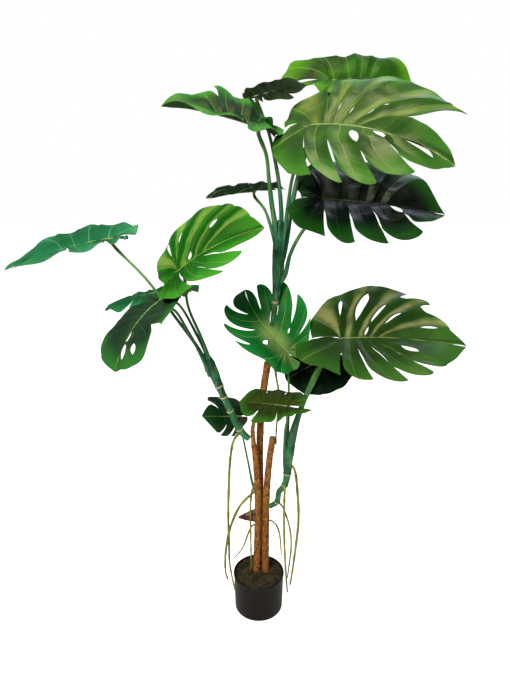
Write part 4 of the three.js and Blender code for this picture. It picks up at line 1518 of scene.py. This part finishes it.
LEAVES = [
    Leaf(
        "leaf_crown_right", base=(133, -52, 1597), tip=(466, -217, 1499), face=(-0.04, -0.57, 0.82),
        droop=41, fold=(11, 10), curl=(15, 23), wave=0.015, lead=(0.4, 0.7), fan=(0.75, 0.35),
        reach=([1, 0.9, 0.66, 0.55, 0.38, 0.22], [1, 0.82, 0.6, 0.38, 0.23, 0.15]),
        split=([0.62, 1, 1, 1, 1], [1, 0.5, 0.6, 0.42, 0.34]),
        seams=([0, 0.1, 0.19, 0.33, 0.46, 0.58, 1], [0, 0.045, 0.12, 0.2, 0.28, 0.36, 1]),
        holes=(
            {
                2: [(0.19, 0.31, 0.005), (0.4, 0.48, 0.008)],
                3: [(0.14, 0.23, 0.006), (0.64, 0.84, 0.006)],
                4: [(0.17, 0.29, 0.006), (0.53, 0.71, 0.008)], 5: [(0.48, 0.8, 0.014)],
            },
            {1: [(0.1, 0.8, 0.014)], 2: [(0.04, 0.32, 0.016)], 3: [(0.17, 0.44, 0.013)]},
        ),
        points=({1: (0.12, 0.05)}, {}),
        petiole=[(66, 20, 1250), (71, 17, 1300), (80, 5, 1389), (95, -15, 1484)], radii=[5, 5, 5, 4.5],
        # painted highlight on the crests and painted shade in the valleys of the left half
        finish=BladeFinish(
            "244a1a", "40702a", "4a9430", "94ac50", 0.5, 0.5, 0.34, ridge="a8b060", painted_sheen_share=0.4,
            shine=0.24
        ),
    ),
    Leaf(
        "leaf_crown_rear", base=(219, 255, 1741), tip=(474, 273, 1738), face=(0.06, -0.64, 0.77),
        droop=16, fold=(27, 40), curl=(60, 53), wave=0.025,
        reach=([1, 0.94, 0.81, 0.75, 0.61, 0.6], [1, 0.93, 0.62, 0.44, 0.36, 0.51]),
        split=([1, 1, 1, 1, 1], [1, 1, 1, 0.7, 1]),
        petiole=[(62, 34, 1205), (73, 36, 1250), (81, 39, 1300), (89, 45, 1358), (117, 72, 1482)],
        radii=[7.5, 7.5, 7, 6.5, 5.5],
        finish=BladeFinish("0c260a", "2a6c10", "5ca41c", "9cc050", 0.65, 0.4, 0.5, shine=0.12),
    ),
    Leaf(
        "leaf_crown_left", base=(6, 9, 1592), tip=(-253, -66, 1646), face=(0.26, -0.21, 0.94),
        droop=12, fold=(21, 18), curl=(27, -6), wave=0.03,
        reach=([1, 0.66, 0.56, 0.37, 0.18, 0.15], [1, 0.71, 0.49, 0.29, 0.22, 0.2]),
        split=([1, 1, 0.6, 1, 1], [1, 0.6, 1, 1, 1]),
        petiole=[(50, 20, 1262), (43, 17, 1340), (35, 14, 1388), (26, 11, 1457), (18, 10, 1523)],
        radii=[7.5, 7.5, 7, 6.5, 5],
        finish=BladeFinish("04260c", "0e4818", "3c9c34", "84bc58", 0.65, 0.6, 0.42, shine=0.14),
    ),
    Leaf(
        "leaf_crown_back", base=(-16, 120, 1681), tip=(137, 145, 1715), face=(-0.14, -0.44, 0.89),
        droop=9, fold=(21, 25), curl=(44, 34), wave=0.02,
        reach=([1, 0.84, 0.56, 0.32, 0.23, 0.17], [1, 0.88, 0.6, 0.28, 0.16, 0.15]),
        split=([1, 1, 1, 1, 1], [1, 0.6, 1, 0.7, 1]),
        petiole=[(60, 43, 1268), (64, 43, 1340), (58, 50, 1428), (47, 66, 1496), (24, 90, 1591)],
        radii=[6.5, 6, 6, 5.5, 4.5],
        # painted shade: a near-black skin for a leaf that lies in shade
        finish=BladeFinish("0a160a", "142a10", "243c18", "465c38", 0.4, 0.4, 0.6, "c4d4c0", shine=0.06),
    ),
    Leaf(
        "leaf_crown_lower", base=(177, 17, 1404), tip=(520, -13, 1365), face=(0.06, -0.44, 0.9),
        droop=10, fold=(14, 14), curl=(16, 23), wave=0.015, lead=(0.7, 0.8), fan=(0.6, 0.5),
        reach=([1, 0.9, 0.66, 0.52, 0.28, 0.17], [1, 0.86, 0.65, 0.5, 0.36, 0.17]),
        split=([1, 1, 1, 1, 1], [0.5, 0.36, 0.44, 0.44, 1]),
        seams=(SEAMS, [0, 0.16, 0.28, 0.38, 0.49, 0.7, 1]),
        holes=({}, {1: [(0.05, 0.44, 0.016)]}),
        petiole=[(62, 27, 1160), (76, 22, 1186), (89, 14, 1246), (111, 8, 1296), (138, 6, 1336)],
        radii=[6.5, 6, 5.5, 5.5, 5],
        finish=BladeFinish("06140c", "10281c", "2c7a20", "4c6a3c", 0.5, 0.35, 0.3, "c4dcd0", shine=0.16),
    ),
    Leaf(
        "leaf_crown_small", base=(-10, 118, 1421), tip=(-159, 112, 1396), face=(-0.1, -0.1, 0.98),
        droop=14, fold=(40, 34), curl=(50, 50), wave=0.03,
        reach=([1, 0.9, 0.66, 0.48, 0.38, 0.4], [1, 0.9, 0.66, 0.54, 0.56, 0.6]),
        split=([1, 0.35, 1, 0.4, 1], [1, 0.35, 1, 0.4, 1]),
        petiole=[(50, 38, 1225), (46, 39, 1270), (34, 50, 1320), (16, 66, 1370)], radii=[5, 5, 5, 4],
        # painted shade: a near-black skin for a leaf that lies in shade
        finish=BladeFinish("0c1c10", "16301c", "244a26", "3c5a38", 0.4, 0.35, 0.6, "c4d4c0", shine=0.08),
    ),
    Leaf(
        "leaf_left_upright", base=(-230, -54, 1212), tip=(12, -125, 1344), face=(-0.53, -0.45, 0.72),
        droop=29, fold=(14, 16), curl=(13, 9), wave=0.015, lead=(0.5, 0.4), fan=(0.35, 0.4),
        reach=([1, 0.82, 0.66, 0.55, 0.46, 0.24], [1, 0.88, 0.6, 0.4, 0.28, 0.16]),
        split=([1, 1, 1, 1, 1], [0.35, 0.5, 0.2, 1, 1]),
        seams=([0, 0.08, 0.16, 0.23, 0.4, 0.6, 1], [0, 0.14, 0.23, 0.34, 0.5, 0.7, 1]),
        holes=(
            {
                2: [(0.54, 0.7, 0.012)], 3: [(0.03, 0.14, 0.016)], 4: [(0.46, 0.78, 0.02)],
                5: [(0.36, 0.82, 0.024)],
            },
            {},
        ),
        petiole=[(-143, -49, 905), (-149, -52, 948), (-172, -54, 1020), (-205, -56, 1110)],
        radii=[5.5, 5, 4.5, 4],
        # painted highlight on the crests and painted shade in the valleys of the left half
        finish=BladeFinish(
            "0e5a0e", "2c9420", "58b434", "a8d868", 0.5, 0.55, 0.34, ridge="b8dc68", painted_sheen_share=0.55
        ),
    ),
    Leaf(
        "leaf_left_far", base=(-427, 29, 1293), tip=(-718, -53, 1209), face=(-0.25, -0.09, 0.96),
        droop=20, fold=(5, 19), curl=(14, 22), wave=0.02,
        reach=([1, 0.6, 0.38, 0.22, 0.16, 0.14], [1, 0.76, 0.59, 0.45, 0.33, 0.19]),
        split=([1, 0.7, 1, 0.7, 1], [1, 0.7, 1, 0.7, 1]),
        petiole=[(-156, -46, 905), (-170, -50, 960), (-245, -45, 1075), (-330, -20, 1185)],
        radii=[5.5, 5, 4.5, 4],
        finish=BladeFinish("0c5c34", "24845a", "4cac78", "8ccc98", 0.4, 0.6, 0.36),
    ),
    Leaf(
        "leaf_left_hanging", base=(-281, -94, 1135), tip=(-382, -247, 982), face=(-0.36, -0.53, 0.77),
        droop=50, fold=(7, -2), curl=(-23, 34), wave=0.015, lead=(0.5, 0.6), fan=(0.95, 0.6),
        reach=([1, 0.93, 0.5, 0.3, 0.25, 0.22], [1, 0.94, 0.7, 0.41, 0.22, 0.15]),
        split=([1, 1, 0.6, 1, 1], [1, 1, 1, 1, 1]),
        seams=([0, 0.05, 0.11, 0.27, 0.45, 0.65, 1], SEAMS),
        holes=({1: [(0.1, 0.5, 0.018), (0.58, 0.84, 0.014)], 2: [(0.62, 0.8, 0.014)]}, {}),
        points=({3: (0.1, 0.03)}, {}),
        petiole=[(-148, -57, 895), (-163, -60, 940), (-205, -66, 1035), (-246, -78, 1108)],
        radii=[5.5, 5, 4.5, 4],
        finish=BladeFinish("1c3826", "2e4e38", "349030", "708c60", 0.7, 0.4, 0.4),
    ),
    Leaf(
        "leaf_left_low", base=(-285, 95, 1120), tip=(-482, 80, 1060), face=(-0.1, 0, 0.98),
        droop=25, fold=(8, 8), curl=(30, 30), wave=0.03,
        reach=([1, 0.8, 0.52, 0.42, 0.4, 0.36], [1, 0.84, 0.66, 0.58, 0.56, 0.46]),
        split=([1, 0.35, 1, 0.4, 1], [1, 0.35, 1, 0.4, 1]),
        petiole=[(-146, -38, 895), (-157, -28, 945), (-192, 2, 1012), (-240, 42, 1084)],
        radii=[5, 4.5, 4.5, 4],
        finish=BladeFinish("0c5430", "1c8450", "38a860", "80c890", 0.5, 0.5, 0.4),
    ),
    Leaf(
        "leaf_centre", base=(82, 14, 953), tip=(-51, 115, 1122), face=(-0.49, -0.86, 0.13),
        droop=55, fold=(59, -12), curl=(8, 7), wave=0.02, slit=0.15, lead=(0.9, 0.5), fan=(0.35, 0.35),
        reach=([1, 0.79, 0.34, 0.31, 0.27, 0.26], [1, 0.91, 0.61, 0.34, 0.25, 0.22]),
        split=([0.24, 0.24, 0.62, 1, 1], [0.5, 0.42, 0.48, 0.45, 1]),
        seams=([0, 0.12, 0.2, 0.27, 0.5, 0.75, 1], [0, 0.08, 0.16, 0.3, 0.46, 0.72, 1]),
        holes=(
            {3: [(0.16, 0.295, 0.012)], 4: [(0.2, 0.32, 0.01)]},
            {2: [(0.2, 0.31, 0.01)], 3: [(0.29, 0.37, 0.008)]},
        ),
        petiole=[(88, -20, 605), (90, -18, 660), (93, -4, 760), (90, 6, 880)], radii=[5, 4.5, 4, 3.5],
        finish=BladeFinish("0c6c2c", "1a9440", "2cb048", "c4dc84", 0.5, 0.6, 0.38, heart=0.6),
    ),
    Leaf(
        "leaf_right_broad", base=(237, -56, 1013), tip=(582, -120, 1006), face=(-0.05, -0.35, 0.93),
        droop=21, fold=(14, 16), curl=(11, 17), wave=0.012, lead=(0.4, 0.35), fan=(0.5, 0.55),
        reach=([1, 0.83, 0.7, 0.5, 0.34, 0.24], [1, 0.85, 0.64, 0.44, 0.42, 0.38]),
        split=([1, 0.86, 0.86, 1, 1], [1, 0.34, 0.31, 0.36, 0.5]),
        seams=([0, 0.08, 0.17, 0.26, 0.38, 0.53, 1], [0, 0.13, 0.19, 0.27, 0.37, 0.5, 1]),
        holes=(
            {
                1: [(0.66, 0.84, 0.005)], 2: [(0.31, 0.58, 0.006)],
                3: [(0.05, 0.14, 0.012), (0.24, 0.58, 0.009)], 4: [(0.27, 0.72, 0.026)],
                5: [(0.39, 0.76, 0.016)],
            },
            {1: [(0.52, 0.7, 0.014)]},
        ),
        petiole=[(97, -36, 625), (100, -37, 672), (117, -40, 743), (146, -42, 835), (180, -47, 925)],
        radii=[10, 10, 9, 7.5, 5.5],
        # painted highlight on the crests and painted shade in the valleys of the left half
        finish=BladeFinish(
            "24481c", "40702a", "4a9430", "a4b468", 0.45, 0.5, 0.34, ridge="b8bc78", painted_sheen_share=0.8,
            shine=0.26
        ),
    ),
    Leaf(
        "leaf_right_shaded", base=(220, 122, 884), tip=(88, 108, 816), face=(0.1, -0.55, 0.83),
        droop=25, fold=(8, 8), curl=(30, 30), wave=0.02,
        reach=([1, 0.92, 0.78, 0.72, 0.66, 0.46], [1, 0.92, 0.78, 0.72, 0.66, 0.46]),
        split=([1, 1, 1, 1, 1], [1, 0.6, 1, 0.6, 1]),
        petiole=[(106, -18, 605), (113, -12, 662), (140, 20, 760), (185, 55, 845)],
        radii=[5.5, 5, 4.5, 4],
        # painted shade: a near-black skin for a leaf that lies in shade
        finish=BladeFinish("08160c", "0e2a16", "1a4022", "284a2c", 0.4, 0.3, 0.6, "c4d4c0", shine=0.06),
    ),
    Leaf(
        "leaf_front_low", base=(82, -101, 817), tip=(-62, -47, 806), face=(-0.22, -0.43, 0.87),
        droop=9, fold=(33, 13), curl=(37, 64), wave=0.03, slit=0.18,
        reach=([1, 0.84, 0.58, 0.36, 0.36, 0.52], [1, 0.92, 0.7, 0.56, 0.42, 0.3]),
        split=([1, 0.4, 1, 0.4, 1], [1, 0.4, 1, 0.4, 1]),
        petiole=[(80, -38, 600), (80, -42, 655), (80, -58, 715), (84, -80, 765)],
        radii=[4.5, 4.5, 4, 3.5],
        finish=BladeFinish("243c10", "40581c", "40982c", "84a050", 0.6, 0.5, 0.4),
    ),
    Leaf(
        "leaf_rear_low", base=(-63, 72, 702), tip=(-181, -5, 739), face=(0.59, -0.76, 0.28),
        droop=48, fold=(-6, -9), curl=(30, 67), wave=0.02, slit=0.15,
        reach=([1, 0.69, 0.52, 0.48, 0.5, 0.5], [1, 0.93, 0.76, 0.66, 0.64, 0.66]),
        split=([1, 0.35, 1, 0.35, 1], [0.4, 1, 0.35, 1, 1]),
        petiole=[(1, 33, 420), (-16, 34, 450), (-38, 44, 556), (-58, 60, 650)], radii=[4.5, 4, 3.5, 3.2],
        finish=BladeFinish("082c14", "104824", "206c30", "4c8450", 0.4, 0.4, 0.42),
    ),
]


def stand_for(piece: Piece, node: str) -> None:
    """Lets a fine piece take the place of its plain solid.

    Args:
        piece: the fine piece.
        node: the solid's name.
    """
    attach(piece, BODY)
    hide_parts(node)
    triangles = sum(len(face.vertices) - 2 for face in piece.data.polygons)
    LOG.info("%s stands for %s, %d triangles", piece.name, node, triangles)


def main() -> None:
    """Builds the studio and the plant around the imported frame."""
    logging.basicConfig(level=logging.INFO, format="%(name)s: %(message)s")
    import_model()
    deselect()
    Studio().build()
    bark = BarkFinish().material()
    wood = PlainFinish("sawn wood", "8a6a5a", "b59a8c", 0.8, 120.0).material()
    dress = {
        "stalk": StalkFinish().material(),
        "underside": UndersideFinish().material(),
        "rim": PlainFinish("leaf rim", "5f8a3a", "88a858", 0.45, 60.0).material(),
    }
    stand_for(NurseryPot().build(PotFinish().material()), "pot")
    stand_for(PottingSoil().build(SoilFinish().material()), "soil")
    for cane in CANES:
        stand_for(cane.build(bark, wood), cane.name)
    for shoot in SHOOTS:
        stand_for(shoot.build(), shoot.name)
    skin = PlainFinish("root skin", "6f7a1e", "b0b040", 0.6, 30.0, "7a6a2c", 0.5).material()
    for root in ROOTS:
        stand_for(root.build(skin), root.name)
    stand_for(DrySheath().build(HuskFinish().material()), "dry_sheath")
    cutter_radii = [radius + GROWTH.stem_air_mm for radius in CROWN_RADII]
    cutter = limb("cutter", Course(CROWN_STEM), cutter_radii, sides=24, steps=60)
    for leaf in LEAVES:
        piece = leaf.build(dress, cutter if leaf.name == "leaf_centre" else None)
        stand_for(piece, leaf.name)
    bpy.data.objects.remove(cutter)
    deselect()


if __name__ == "__main__":
    main()
